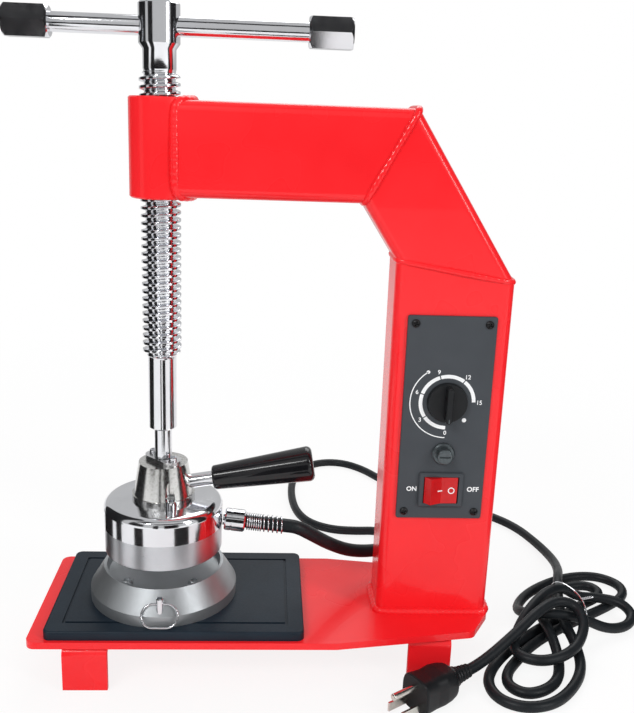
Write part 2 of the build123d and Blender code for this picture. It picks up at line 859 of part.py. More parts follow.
with BuildPart() as ring_pin:
    with BuildSketch(level(pin_x, pin_y, pin_seat + clear)):
        Circle(pin_diameter / 2)
    extrude(amount=pin_top - pin_seat - clear)
    chamfer(ring_pin.faces().sort_by(Axis.Z)[-1].edges(), 0.6)
    with BuildSketch(Plane(origin=(screw_x + pin_x, pin_y, ring_axis_z), x_dir=(0, 1, 0), z_dir=(1, 0, 0))):
        Circle(ring_bore / 2)
    extrude(amount=pin_diameter, both=True, mode=Mode.SUBTRACT)

ring_pin.part.label = "ring_pin"
export_step(ring_pin.part, "parts/ring_pin.step")

# the pull ring: an oval of wire through the pin, hanging forward against the platen
with BuildPart() as pull_ring:
    lean = math.radians(ring_lean)
    hang = Vector(0, -math.cos(lean), -math.sin(lean))
    ring_plane = Plane(
        origin=(screw_x + pin_x, pin_y, ring_axis_z),
        x_dir=(1, 0, 0),
        z_dir=Vector(1, 0, 0).cross(hang),
    )
    wide = (ring_width - ring_wire) / 2
    deep = ring_length - ring_wire
    bow = deep / 2
    with BuildLine(ring_plane) as ring_line:
        Line((0, 0), (wide - bow, 0))
        ThreePointArc((wide - bow, 0), (wide, bow), (wide - bow, deep))
        Line((wide - bow, deep), (bow - wide, deep))
        ThreePointArc((bow - wide, deep), (-wide, bow), (bow - wide, 0))
        Line((bow - wide, 0), (0, 0))
    with BuildSketch(Plane(origin=ring_plane.origin, z_dir=(1, 0, 0))):
        tube_section(ring_wire, 8)
    sweep()

pull_ring.part.label = "pull_ring"
export_step(pull_ring.part, "parts/pull_ring.step")

# ---------------------------------------------------------------- control panel
panel_mid = panel_bottom + panel_height / 2
screw_grid = GridLocations(panel_width - 2 * panel_screw_inset, panel_height - 2 * panel_screw_inset, 2, 2)

with BuildPart() as control_panel:
    with BuildSketch(facing_front(panel_x, column_front, panel_mid)):
        RectangleRounded(panel_width, panel_height, panel_corner)
        with screw_grid:
            Circle(panel_screw_shank / 2, mode=Mode.SUBTRACT)
        with Locations((0, dial_z - panel_mid)):
            Circle(timer_bush_diameter / 2, mode=Mode.SUBTRACT)
        with Locations((0, fuse_z - panel_mid)):
            Circle(fuse_body[0] / 2, mode=Mode.SUBTRACT)
        with Locations((0, switch_z - panel_mid)):
            Rectangle(switch_body[0], switch_body[1], mode=Mode.SUBTRACT)
    extrude(amount=panel_thickness)
    chamfer(control_panel.faces().sort_by(Axis.Y)[0].outer_wire().edges(), 0.4)

control_panel.part.label = "control_panel"
export_step(control_panel.part, "parts/control_panel.step")

for count, spot in enumerate(screw_grid):
    with BuildPart() as panel_screw:
        with BuildSketch(facing_front(panel_x + spot.position.X, panel_front, panel_mid + spot.position.Y)):
            Circle(panel_screw_head[0] / 2)
        extrude(amount=panel_screw_head[1])
        fillet(panel_screw.faces().sort_by(Axis.Y)[0].edges(), panel_screw_head[1] * 0.6)
        with BuildSketch(facing_front(panel_x + spot.position.X, panel_front, panel_mid + spot.position.Y)):
            Circle(panel_screw_shank / 2)
        extrude(amount=-(panel_thickness + tube_wall + 2))
    panel_screw.part.label = f"panel_screw_{count + 1}"
    export_step(panel_screw.part, f"parts/panel_screw_{count + 1}.step")

with BuildPart() as timer_body:
    with BuildSketch(facing_back(panel_x, column_front, dial_z)):
        RectangleRounded(timer_size[0], timer_size[2], 3)
    extrude(amount=timer_size[1])
    with BuildSketch(facing_front(panel_x, column_front, dial_z)):
        Circle(timer_bush_diameter / 2)
    extrude(amount=panel_thickness)
    with BuildSketch(facing_back(panel_x, panel_front, dial_z)):
        Circle(timer_shaft_diameter / 2 + fit)
    extrude(amount=timer_size[1] / 2, mode=Mode.SUBTRACT)

timer_body.part.label = "timer_body"
export_step(timer_body.part, "parts/timer_body.step")

knob_back = panel_front - knob_lift
knob_top = knob_back - knob_grip[2]
with BuildPart() as timer_shaft:
    with BuildSketch(facing_back(panel_x, knob_back - knob_skirt_height / 2, dial_z)):
        Circle(timer_shaft_diameter / 2)
    extrude(amount=timer_size[1] / 2 - clear)

timer_shaft.part.label = "timer_shaft"
export_step(timer_shaft.part, "parts/timer_shaft.step")

with BuildPart() as timer_knob:
    with BuildSketch(facing_front(panel_x, knob_back, dial_z)):
        Circle(knob_skirt_diameter / 2)
    extrude(amount=knob_skirt_height, taper=12)
    with BuildSketch(facing_front(panel_x, knob_back, dial_z)):
        SlotOverall(knob_grip[1], knob_grip[0], rotation=90)
    extrude(amount=knob_grip[2])
    fillet(timer_knob.faces().sort_by(Axis.Y)[0].edges(), 0.8)
    with BuildSketch(facing_front(panel_x, knob_back, dial_z)):
        Circle(timer_shaft_diameter / 2)
    extrude(amount=knob_skirt_height / 2, mode=Mode.SUBTRACT)

timer_knob.part.label = "timer_knob"
export_step(timer_knob.part, "parts/timer_knob.step")

with BuildPart() as fuse_holder:
    with BuildSketch(facing_front(panel_x, panel_front, fuse_z)):
        Circle(fuse_flange[0] / 2)
    extrude(amount=fuse_flange[1])
    chamfer(fuse_holder.faces().sort_by(Axis.Y)[0].edges(), 0.8)
    with BuildSketch(facing_back(panel_x, panel_front, fuse_z)):
        Circle(fuse_body[0] / 2)
    extrude(amount=fuse_body[1])
    with BuildSketch(facing_back(panel_x, panel_front - fuse_flange[1], fuse_z)):
        Circle(fuse_plug / 2 + fit)
    extrude(amount=fuse_flange[1] + fuse_body[1] - 2, mode=Mode.SUBTRACT)

fuse_holder.part.label = "fuse_holder"
export_step(fuse_holder.part, "parts/fuse_holder.step")

cap_seat = panel_front - fuse_flange[1]
with BuildPart() as fuse_cap:
    with BuildSketch(facing_front(panel_x, cap_seat, fuse_z)):
        Circle(fuse_cap_size[0] / 2)
    extrude(amount=fuse_cap_size[1])
    fillet(fuse_cap.faces().sort_by(Axis.Y)[0].edges(), 0.8)
    with BuildSketch(facing_front(panel_x, cap_seat - fuse_cap_size[1], fuse_z)):
        Rectangle(fuse_cap_size[0] * 0.7, 1.2)
    extrude(amount=-1.0, mode=Mode.SUBTRACT)
    with BuildSketch(facing_back(panel_x, cap_seat, fuse_z)):
        Circle(fuse_plug / 2)
    extrude(amount=4)

fuse_cap.part.label = "fuse_cap"
export_step(fuse_cap.part, "parts/fuse_cap.step")

with BuildPart() as fuse:
    with BuildSketch(facing_back(panel_x, cap_seat + 4, fuse_z)):
        Circle(fuse_diameter / 2)
    extrude(amount=fuse_length)

fuse.part.label = "fuse"
export_step(fuse.part, "parts/fuse.step")

# the rocker tips about an upright pin in the middle of the switch
rocker_pin_y = panel_front - 0.5
rocker_depth = 7.0
pocket = (rocker_width + 2 * clear, rocker_height + 2 * clear)

with BuildPart() as switch_housing:
    with BuildSketch(facing_front(panel_x, panel_front, switch_z)):
        RectangleRounded(bezel_width, bezel_height, 1.5)
    extrude(amount=bezel_thickness)
    chamfer(switch_housing.faces().sort_by(Axis.Y)[0].edges(), 0.7)
    with BuildSketch(facing_back(panel_x, panel_front, switch_z)):
        Rectangle(switch_body[0] - 0.4, switch_body[1] - 0.4)
    extrude(amount=switch_body[2])
    with BuildSketch(facing_back(panel_x, panel_front - bezel_thickness, switch_z)):
        Rectangle(pocket[0], pocket[1])
    extrude(amount=bezel_thickness + rocker_depth + 4, mode=Mode.SUBTRACT)
    with BuildSketch(Plane(origin=(panel_x, rocker_pin_y, switch_z))):
        Circle(rocker_trunnion / 2 + fit)
    extrude(amount=rocker_height / 2 + 3 * clear + fit, both=True, mode=Mode.SUBTRACT)

switch_housing.part.label = "switch_housing"
export_step(switch_housing.part, "parts/switch_housing.step")

with BuildPart() as switch_rocker:
    half = rocker_width / 2
    face_y = panel_front - bezel_thickness
    with BuildSketch(Plane.XY.offset(switch_z - rocker_height / 2)):
        with BuildLine():
            Polyline(
                (panel_x + half - 0.6, face_y),
                (panel_x, face_y - 0.4),
                (panel_x - rocker_ridge, face_y - rocker_proud),
                (panel_x - half + 0.3, face_y + 0.4),
                (panel_x - half + 0.6, face_y + 1.5),
                (panel_x - half * 0.55, rocker_pin_y + rocker_depth * 0.55),
                (panel_x + half * 0.3, rocker_pin_y + rocker_depth),
                (panel_x + half - 1.5, rocker_pin_y + rocker_depth * 0.6),
                close=True,
            )
        make_face()
    extrude(amount=rocker_height)
    with BuildSketch(Plane(origin=(panel_x, rocker_pin_y, switch_z))):
        Circle(rocker_trunnion / 2)
    extrude(amount=rocker_height / 2 + 3 * clear, both=True)

switch_rocker.part.label = "switch_rocker"
export_step(switch_rocker.part, "parts/switch_rocker.step")

# ---------------------------------------------------------------- leads at the column
with BuildPart() as lead_grommet:
    entry = facing_back(screw_x + lead_entry[0], column_back, lead_entry[1])
    with BuildSketch(entry):
        Circle(grommet_flange[0] / 2)
    extrude(amount=grommet_flange[1])
    fillet(lead_grommet.faces().sort_by(Axis.Y)[-1].edges(), 1)
    with BuildSketch(entry.offset(-tube_wall)):
        Circle(lead_diameter / 2 + 1.5)
    extrude(amount=tube_wall)

lead_grommet.part.label = "lead_grommet"
export_step(lead_grommet.part, "parts/lead_grommet.step")

with BuildPart() as cord_gland:
    gland = facing_back(screw_x + gland_at[0], column_back, gland_at[1])
    with BuildSketch(gland):
        RegularPolygon(gland_nut / 2, 6, major_radius=False)
    extrude(amount=5)
    with BuildSketch(gland.offset(5)):
        Circle(gland_nut / 2 - 1)
    with BuildSketch(gland.offset(gland_length)):
        Circle(cord_diameter / 2 + 1.5)
    loft()
    with BuildSketch(gland.offset(-tube_wall)):
        Circle(gland_nut / 2 - 2)
    extrude(amount=tube_wall)

cord_gland.part.label = "cord_gland"
export_step(cord_gland.part, "parts/cord_gland.step")

with BuildPart() as terminal_block:
    with BuildSketch(facing_front(column_x + 16, column_back - tube_wall, gland_at[1] - 14)):
        RectangleRounded(terminal_size[0], terminal_size[2], 1)
    extrude(amount=terminal_size[1])

terminal_block.part.label = "terminal_block"
export_step(terminal_block.part, "parts/terminal_block.step")


def cord_radii(route):
    """Each corner's radius: 0.45 of its shorter run over the tangent of half its turn."""
    radii = []
    for before, corner, after in zip(route, route[1:], route[2:]):
        into = Vector(*corner) - Vector(*before)
        out = Vector(*after) - Vector(*corner)
        half_turn = math.radians(into.get_angle(out)) / 2
        radii.append(0.45 * min(into.length, out.length) / math.tan(half_turn))
    return radii


def from_axis(points):
    """Points given from the screw's axis, moved to the part's origin."""
    return [(screw_x + x, y, z) for x, y, z in points]


def report_tube(name, part, line, diameter, radii):
    """Print a tube's smallest bend and its volume against section times length."""
    length = sum(edge.length for edge in line.edges())
    ratio = part.volume / (math.pi * diameter ** 2 / 4 * length)
    print(name, "length", round(length, 1), "volume ratio", round(ratio, 4), "radii", [round(r) for r in radii])


# the head's lead: down from the spring, behind the column and into its grommet
lead_out = coupling_root + lead_way * (coupling_neck[1] + 2.5)
lead_free = coupling_root + lead_way * 46.0

with BuildPart() as lead_stub:
    with BuildSketch(Plane(origin=lead_out, z_dir=lead_way)):
        Circle(lead_diameter / 2)
    extrude(amount=(lead_free - lead_out).length)

lead_stub.part.label = "lead_stub"
export_step(lead_stub.part, "parts/lead_stub.step")

lead_route = [
    tuple(lead_free),
    tuple(lead_free + lead_way * 9),
    *from_axis([
        (107.0, 5.0, 85.5),
        (121.0, 14.0, 73.5),
        (137.0, 24.0, 63.0),
        (154.5, 34.0, 57.5),
        (172.0, 41.5, 57.0),
        (187.0, 43.0, 58.5),
        (lead_entry[0], 38.0, lead_entry[1]),
        (lead_entry[0], column_back + grommet_flange[1], lead_entry[1]),
    ]),
]

with BuildPart() as head_lead:
    with BuildLine() as head_lead_line:
        FilletPolyline(*lead_route, radius=cord_radii(lead_route))
    with BuildSketch(Plane(origin=lead_route[0], z_dir=lead_way)):
        tube_section(lead_diameter, 12)
    sweep()

report_tube("head lead", head_lead.part, head_lead_line.line, lead_diameter, cord_radii(lead_route))
head_lead.part.label = "head_lead"
export_step(head_lead.part, "parts/head_lead.step")

# ---------------------------------------------------------------- mains cord
rest = cord_diameter / 2 + 0.4
cord_route = from_axis([
    (gland_at[0], column_back + gland_length, gland_at[1]),
    (206.0, 66.0, 90.0),
    (206.5, 90.0, 74.0),
    (207.0, 108.0, 48.0),
    (206.5, 124.0, 22.0),
    (204.0, 144.0, 6.0),
    (197.0, 165.0, rest),
    (180.0, 178.0, rest),
    (158.0, 176.5, rest),
    (136.0, 179.0, rest),
    (116.0, 192.0, rest),
    (104.0, 216.0, rest),
    (99.5, 252.0, rest),
    (101.0, 292.0, rest),
    (110.0, 326.0, rest),
    (131.0, 347.0, rest),
    (157.0, 349.0, rest),
    (180.0, 331.0, rest),
    (199.0, 299.0, rest),
    (222.0, 270.0, rest),
    (256.0, 243.0, rest),
    (291.0, 219.0, rest),
    (315.0, 191.0, rest),
    (327.0, 154.0, rest),
    (330.0, 116.0, 8.0),
    (323.0, 82.0, 16.0),
    (314.0, 58.0, 22.0),
])

with BuildPart() as power_cord:
    with BuildLine() as power_cord_line:
        FilletPolyline(*cord_route, radius=cord_radii(cord_route))
    with BuildSketch(facing_back(*cord_route[0])):
        tube_section(cord_diameter, 10)
    sweep()

report_tube("power cord", power_cord.part, power_cord_line.line, cord_diameter, cord_radii(cord_route))
power_cord.part.label = "power_cord"
export_step(power_cord.part, "parts/power_cord.step")

# the hank: three full loops laid through one waist, strands there in four layers
layer = cord_diameter + 0.5
low = rest
hank_route = from_axis([
    (314.0, 58.0, 22.0),
    (309.0, 40.0, 18.0),
    (305.0, 20.0, low + layer + 0.8),
    (303.5, 0.0, low + layer + 0.8),
    (305.0, -20.0, low + 5.0),
    (302.5, -41.0, low + 0.8),
    (290.0, -62.0, low),
    (271.0, -80.0, low),
    (250.0, -85.0, low),
    (233.0, -76.0, low),
    (229.0, -57.0, low),
    (239.0, -36.0, low),
    (261.0, -11.0, low),
    (285.0, 10.0, low),
    (310.0, 29.0, low),
    (334.0, 48.0, low),
    (348.0, 57.0, low),
    (355.0, 68.0, low),
    (347.0, 79.0, low),
    (325.0, 74.0, low),
    (303.0, 57.0, low + 0.2),
    (290.0, 38.0, low + 2.0),
    (288.0, 20.0, low + layer),
    (289.0, 0.0, low + layer + 0.5),
    (290.0, -18.0, low + 4.0),
    (287.5, -36.0, low + 0.8),
    (281.0, -54.0, low),
    (268.0, -66.0, low),
    (253.0, -70.0, low),
    (243.0, -60.0, low),
    (246.5, -45.0, low),
    (258.0, -30.0, low),
    (273.0, -12.0, low),
    (295.0, 6.0, low),
    (321.0, 24.0, low),
    (350.0, 42.0, low),
    (373.0, 60.0, low),
    (377.0, 79.0, low),
    (362.0, 94.0, low),
    (338.0, 93.0, low),
    (312.0, 80.0, low),
    (290.0, 62.0, low + 0.3),
    (276.0, 40.0, low + 2.0),
    (273.0, 20.0, low + 9.0),
    (281.0, 6.0, low + 2.05 * layer),
    (297.0, 1.0, low + 2.3 * layer),
    (317.0, 2.0, low + 1.75 * layer),
    (338.0, 6.0, low + 3.0),
    (357.0, 13.0, low + 0.8),
    (367.0, 26.0, low + 3.5),
    (360.0, 38.0, low + layer),
    (343.0, 44.0, low + layer),
    (325.0, 41.0, low + 1.3 * layer),
    (308.0, 31.0, low + 3.05 * layer),
    (291.0, 18.0, low + 3.4 * layer),
    (272.0, 0.0, low + 2.75 * layer),
    (257.0, -19.0, low + 1.2 * layer),
    (255.0, -36.0, low + layer),
    (269.0, -45.0, low + 1.05 * layer),
    (287.0, -41.0, low + 1.15 * layer),
    (303.0, -29.0, low + 1.4 * layer),
    (313.0, -12.0, low + 2.5 * layer),
    (309.0, 3.0, low + 3.2 * layer),
    (294.0, 4.0, low + 3.5 * layer),
    (277.0, -8.0, low + 3.2 * layer),
    (261.0, -21.0, low + 2.4 * layer),
])


def smooth_ways(points):
    """Each point's direction: along the chord of its two neighbours, weighted to the nearer."""
    ways = [(points[1] - points[0]).normalized()]
    for before, point, after in zip(points, points[1:], points[2:]):
        into = point - before
        out = after - point
        ways.append((into * (out.length / into.length) + out * (into.length / out.length)).normalized())
    ways.append((points[-1] - points[-2]).normalized())
    return ways


def least_gap(arcs, diameter, step=2.0):
    """Least gap between stretches of a tube that lie over two diameters apart along it."""
    samples = []
    walked = 0.0
    for arc in arcs:
        count = max(2, int(arc.length / step))
        for k in range(count):
            samples.append((walked + arc.length * k / count, arc @ (k / count)))
        walked += arc.length
    least = 1e9
    place = None
    for i, (at_first, first) in enumerate(samples):
        for at_second, second in samples[i + 1:]:
            if at_second - at_first > 2.5 * diameter:
                gap = (first - second).length - diameter
                if gap < least:
                    least = gap
                    place = first
    return least, place


hank_points = [Vector(*point) for point in hank_route]
hank_ways = smooth_ways(hank_points)
hank_ways[0] = (Vector(*cord_route[-1]) - Vector(*cord_route[-2])).normalized()
hank_arcs = biarcs(hank_points, hank_ways)
hank_gap, hank_place = least_gap(hank_arcs, cord_diameter)
print("hank: length", round(sum(arc.length for arc in hank_arcs)), "least gap", round(hank_gap, 2), hank_place)
print("hank: least radius", round(min(arc.radius for arc in hank_arcs), 1))

with BuildPart() as cord_hank:
    with BuildLine() as hank_line:
        for arc in hank_arcs:
            add(arc)
    with BuildSketch(Plane(origin=hank_points[0], z_dir=hank_ways[0])):
        tube_section(cord_diameter, 10)
    sweep()

cord_hank.part.label = "cord_hank"
export_step(cord_hank.part, "parts/cord_hank.step")

# the tail runs over the hank's loops down to the plug, which lies on its flat side
plug_way = Vector(-0.83, -0.557, 0).normalized()
plug_relief_end = Vector(screw_x + 215.5, -54.0, 0)
plug_relief = 10.0
plug_length = 40.0
plug_width = 25.0
plug_flat = 13.0
plug_cord_z = 12.0
blade_z = 6.6
blade_spacing = 12.7
blade_size = (1.5, 6.3, 17.0)
ground_z = blade_z + 11.9
ground_diameter = 4.8
ground_length = 20.0
plug_across = plug_way.cross(Vector(0, 0, 1))


def plug_section(distance):
    """Plane square to the plug's axis, on the table, a distance from its cord end."""
    return Plane(origin=plug_relief_end + plug_way * distance, x_dir=plug_across, z_dir=plug_way)


with BuildPart() as power_plug:
    with BuildSketch(plug_section(plug_relief)):
        with BuildLine():
            half = plug_width / 2
            upright = 1 if plug_section(0).y_dir.Z > 0 else -1
            Polyline((-half, upright * plug_flat), (-half, 0), (half, 0), (half, upright * plug_flat))
            ThreePointArc((half, upright * plug_flat), (0, upright * (plug_flat + half)), (-half, upright * plug_flat))
        make_face()
    extrude(amount=plug_length)
    fillet(power_plug.edges().group_by(Axis.Z)[0].filter_by(lambda edge: edge.length > plug_width + 1), 2)
    with BuildSketch(plug_section(0)):
        with Locations((0, upright * plug_cord_z)):
            Circle(cord_diameter / 2 + 1.6)
    with BuildSketch(plug_section(plug_relief)):
        with Locations((0, upright * plug_cord_z)):
            Circle(plug_width / 2 - 3)
    loft()
    for side in (-1, 1):
        with BuildSketch(plug_section(plug_relief + plug_length)):
            with Locations((side * blade_spacing / 2, upright * blade_z)):
                Rectangle(blade_size[0], blade_size[1])
        extrude(amount=-blade_size[2] / 2, mode=Mode.SUBTRACT)
    with BuildSketch(plug_section(plug_relief + plug_length)):
        with Locations((0, upright * ground_z)):
            Circle(ground_diameter / 2)
    extrude(amount=-ground_length / 2, mode=Mode.SUBTRACT)

power_plug.part.label = "power_plug"
export_step(power_plug.part, "parts/power_plug.step")

for name, side in (("left_blade", -1), ("right_blade", 1)):
    with BuildPart() as blade:
        with BuildSketch(plug_section(plug_relief + plug_length - blade_size[2] / 2)):
            with Locations((side * blade_spacing / 2, upright * blade_z)):
                Rectangle(blade_size[0], blade_size[1])
        extrude(amount=blade_size[2] * 1.5)
    blade.part.label = name
    export_step(blade.part, f"parts/{name}.step")

with BuildPart() as ground_pin:
    with BuildSketch(plug_section(plug_relief + plug_length - ground_length / 2)):
        with Locations((0, upright * ground_z)):
            Circle(ground_diameter / 2)
    extrude(amount=ground_length * 1.5)
    fillet(ground_pin.edges().filter_by(GeomType.CIRCLE), 1.2)

ground_pin.part.label = "ground_pin"
export_step(ground_pin.part, "parts/ground_pin.step")

plug_entry = plug_relief_end + Vector(0, 0, plug_cord_z)
tail_start = hank_points[-1]
tail_way = hank_ways[-1]
tail_route = [
    tail_start,
    tail_start + tail_way * 12,
    plug_entry - plug_way * 14,
    plug_entry,
]

with BuildPart() as cord_tail:
    with BuildLine() as cord_tail_line:
        FilletPolyline(*tail_route, radius=cord_radii(tail_route))
    with BuildSketch(Plane(origin=tail_start, z_dir=tail_way)):
        tube_section(cord_diameter, 10)
    sweep()

report_tube("cord tail", cord_tail.part, cord_tail_line.line, cord_diameter, cord_radii(tail_route))
cord_tail.part.label = "cord_tail"
export_step(cord_tail.part, "parts/cord_tail.step")
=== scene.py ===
# %% [markdown]
# # A bench press for tyre and tube patches
# The real thing is a welded red C-frame whose screw presses a heated head on a
# platen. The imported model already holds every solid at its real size, so this
# lesson loads it as a fixed frame and adds what a solid cannot show: paint,
# threads, weld beads, printing, and cords that lie as cords do.

# %% Load the frame
import math

import bmesh
import bpy
import numpy as np
from mathutils import Matrix, Vector


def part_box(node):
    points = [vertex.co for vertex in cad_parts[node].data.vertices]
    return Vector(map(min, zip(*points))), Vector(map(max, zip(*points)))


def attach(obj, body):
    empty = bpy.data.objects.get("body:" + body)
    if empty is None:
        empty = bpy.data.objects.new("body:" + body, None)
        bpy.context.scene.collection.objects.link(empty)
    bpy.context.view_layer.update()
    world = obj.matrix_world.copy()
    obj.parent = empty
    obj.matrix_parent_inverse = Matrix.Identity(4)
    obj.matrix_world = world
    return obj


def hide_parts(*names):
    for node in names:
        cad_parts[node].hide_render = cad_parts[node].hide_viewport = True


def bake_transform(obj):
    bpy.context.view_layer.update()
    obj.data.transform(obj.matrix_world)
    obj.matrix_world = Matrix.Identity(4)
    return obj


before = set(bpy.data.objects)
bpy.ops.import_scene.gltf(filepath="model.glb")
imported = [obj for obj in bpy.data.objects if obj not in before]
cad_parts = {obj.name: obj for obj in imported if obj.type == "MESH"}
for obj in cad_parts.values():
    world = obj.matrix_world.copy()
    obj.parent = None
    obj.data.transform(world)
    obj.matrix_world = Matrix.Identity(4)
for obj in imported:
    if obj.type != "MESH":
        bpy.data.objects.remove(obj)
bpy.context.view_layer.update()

AXIS = -0.070

# %% [markdown]
# ## The camera
# A photograph taken by hand is turned a little about all three axes. The three
# turns and the place were found by matching corners of the frame, so the camera
# is built from them as a matrix rather than aimed with a constraint, which
# would lose the roll.

# %% Camera
IMAGE_WIDTH = 634
FOCAL_PIXELS = 887.756
YAW, PITCH, ROLL = 0.060073, 0.262952, 0.037279

level = math.cos(PITCH)
forward = Vector((math.sin(YAW) * level, math.cos(YAW) * level, -math.sin(PITCH)))
level_right = Vector((math.cos(YAW), -math.sin(YAW), 0))
level_up = level_right.cross(forward)
right = level_right * math.cos(ROLL) + level_up * math.sin(ROLL)
up = level_up * math.cos(ROLL) - level_right * math.sin(ROLL)

camera_data = bpy.data.cameras.new("camera")
camera_data.sensor_fit = "HORIZONTAL"
camera_data.sensor_width = 36.0
camera_data.lens = 36.0 * FOCAL_PIXELS / IMAGE_WIDTH
camera = bpy.data.objects.new("camera", camera_data)
turned_axes = Matrix((right, up, -forward)).transposed().to_4x4()
camera.matrix_world = Matrix.Translation((0.0001212, -0.5886847, 0.3808755)) @ turned_axes
bpy.context.scene.collection.objects.link(camera)
bpy.context.scene.camera = camera
print("lens", round(camera_data.lens, 2), "mm")

# %% [markdown]
# ## Sockets
# Every finish is a small node tree. Writing a tree as sums and products reads
# like the idea itself, "roughness plus a little of the grain", so one class
# stands for a socket and turns Python's operators into Math nodes.


# %% Sockets as numbers
class Wire:
    """An output socket. Sums and products of it are Math nodes of its tree."""

    def __init__(self, tree, socket):
        self.tree = tree
        self.socket = socket

    def math(self, operation, first, second):
        """A Math node, whose two inputs are sockets or numbers."""
        return self.tree.node("ShaderNodeMath", {"operation": operation}, {0: first, 1: second})

    def output(self, name):
        """Another output of the node that this one comes from."""
        return Wire(self.tree, self.socket.node.outputs[name])

    def __add__(self, other):
        return self.math("ADD", self, other)

    def __radd__(self, other):
        return self.math("ADD", other, self)

    def __mul__(self, other):
        return self.math("MULTIPLY", self, other)

    def __rmul__(self, other):
        return self.math("MULTIPLY", other, self)

    def above(self, level, softness):
        """0 below the level, 1 above it, with a soft step between."""
        return self.tree.node(
            "ShaderNodeMapRange",
            {"interpolation_type": "SMOOTHSTEP"},
            {"Value": self, "From Min": level - softness, "From Max": level + softness},
        )


print("sockets add and multiply like numbers")

# %% [markdown]
# ## Finishes
# Every other kind of node comes from one method, which takes the node's
# settings and what goes into its sockets. A finish is such a tree with a
# material round it, and it knows the steps that every surface here needs: a
# grain, a blend of two colours, and where both go.


# %% Trees and finishes
class Tree:
    """The node tree of a material or of the sky, with one method for nodes of every kind."""

    def __init__(self, node_tree):
        self.nodes = node_tree.nodes
        self.links = node_tree.links

    def feed(self, socket, value):
        """Link an output to the socket, or give the socket a constant."""
        if isinstance(value, Wire):
            self.links.new(value.socket, socket)
        else:
            socket.default_value = value

    def node(self, kind, settings=None, sockets=None, output=0):
        """Add a node: its settings first, then its sockets' values or links."""
        made = self.nodes.new(kind)
        for name, value in (settings or {}).items():
            setattr(made, name, value)
        for name, value in (sockets or {}).items():
            self.feed(made.inputs[name], value)
        return Wire(self, made.outputs[output])


class Finish(Tree):
    """A material with one Principled shader. Its constants go on the shader's own sockets."""

    def __init__(self, name, **constants):
        self.material = bpy.data.materials.new(name)
        self.material.use_nodes = True
        super().__init__(self.material.node_tree)
        self.shader = self.nodes["Principled BSDF"]
        self.place = self.node("ShaderNodeTexCoord", output="Object")
        for socket, value in constants.items():
            self.feed(self.shader.inputs[socket.replace("_", " ")], value)

    def grain(self, size, detail=3.0, stretch=(1, 1, 1)):
        """Noise with blotches about size metres across, drawn out along the axes by stretch."""
        scale = [1 / share for share in stretch]
        mapped = self.node("ShaderNodeMapping", None, {"Vector": self.place, "Scale": scale})
        noise = {"Vector": mapped, "Scale": 1 / size, "Detail": detail}
        return self.node("ShaderNodeTexNoise", None, noise)

    def blend(self, factor, low, high):
        """A colour between two, by a factor from 0 to 1."""
        colours = {"Factor": factor, 6: (*low, 1), 7: (*high, 1)}
        return self.node("ShaderNodeMix", {"data_type": "RGBA"}, colours, output=2)

    def wear(self, colour, roughness=None, height=None, depth=None):
        """Feed what changes over the surface: colour, roughness, a bump of a depth in metres."""
        self.feed(self.shader.inputs["Base Color"], colour)
        if roughness is not None:
            self.feed(self.shader.inputs["Roughness"], roughness)
        if height is not None:
            bump = {"Strength": 0.6, "Distance": depth, "Height": height}
            self.feed(self.shader.inputs["Normal"], self.node("ShaderNodeBump", None, bump))
        return self.material


print("trees and finishes ready")

# %% [markdown]
# ## Paint, rubber and plastics
# Sprayed enamel is a glossy clear skin over pigment with a faint orange peel, so
# it gets a coat and a shallow bump of soft noise a few millimetres across.
# Rubber and moulded plastics differ mostly in roughness and in the size of the
# grain that their moulds leave.

# %% Paint and plastics
red = Finish("red_enamel", Specular_IOR_Level=0.25, Coat_Weight=0.35, Coat_Roughness=0.04)
peel = red.grain(0.004, 2.0)
cloud = red.grain(0.05, 2.0)
red_enamel = red.wear(
    red.blend(cloud, (0.82, 0.008, 0.013), (0.95, 0.018, 0.024)),
    0.22 + 0.12 * cloud,
    peel * 0.8 + red.grain(0.0012) * 0.2,
    0.00005,
)

rubber = Finish("mat_rubber", Specular_IOR_Level=0.2)
specks = rubber.grain(0.0012, 4.0)
mat_rubber = rubber.wear(
    rubber.blend(rubber.grain(0.03), (0.006, 0.011, 0.018), (0.014, 0.026, 0.040)),
    0.36 + 0.22 * specks,
    specks,
    0.00012,
)

panel = Finish("panel_grey", Specular_IOR_Level=0.2)
panel_grey = panel.wear(
    panel.blend(panel.grain(0.02), (0.046, 0.052, 0.060), (0.062, 0.069, 0.078)),
    0.42 + 0.12 * panel.grain(0.0008),
    panel.grain(0.0006),
    0.00003,
)

knob = Finish("knob_black", Specular_IOR_Level=0.22)
knob_black = knob.wear(
    knob.blend(knob.grain(0.01), (0.006, 0.007, 0.008), (0.013, 0.014, 0.016)),
    0.30 + 0.15 * knob.grain(0.001),
    knob.grain(0.0008),
    0.00002,
)

grip = Finish("grip_black", Specular_IOR_Level=0.15, Coat_Weight=0.6, Coat_Roughness=0.05)
grip_black = grip.wear(
    grip.blend(grip.grain(0.02), (0.004, 0.004, 0.005), (0.010, 0.010, 0.012)),
    0.16 + 0.10 * grip.grain(0.003),
    grip.grain(0.002),
    0.00002,
)

jacket = Finish("cord_jacket", Specular_IOR_Level=0.2)
cord_jacket = jacket.wear(
    jacket.blend(jacket.grain(0.01), (0.007, 0.009, 0.011), (0.016, 0.019, 0.022)),
    0.30 + 0.20 * jacket.grain(0.002),
    jacket.grain(0.0015),
    0.00004,
)

lens = Finish("rocker_red", Specular_IOR_Level=0.25, Coat_Weight=0.3, Coat_Roughness=0.04)
rocker_red = lens.wear(
    lens.blend(lens.grain(0.006), (0.42, 0.001, 0.003), (0.62, 0.004, 0.006)),
    0.18 + 0.10 * lens.grain(0.002),
)

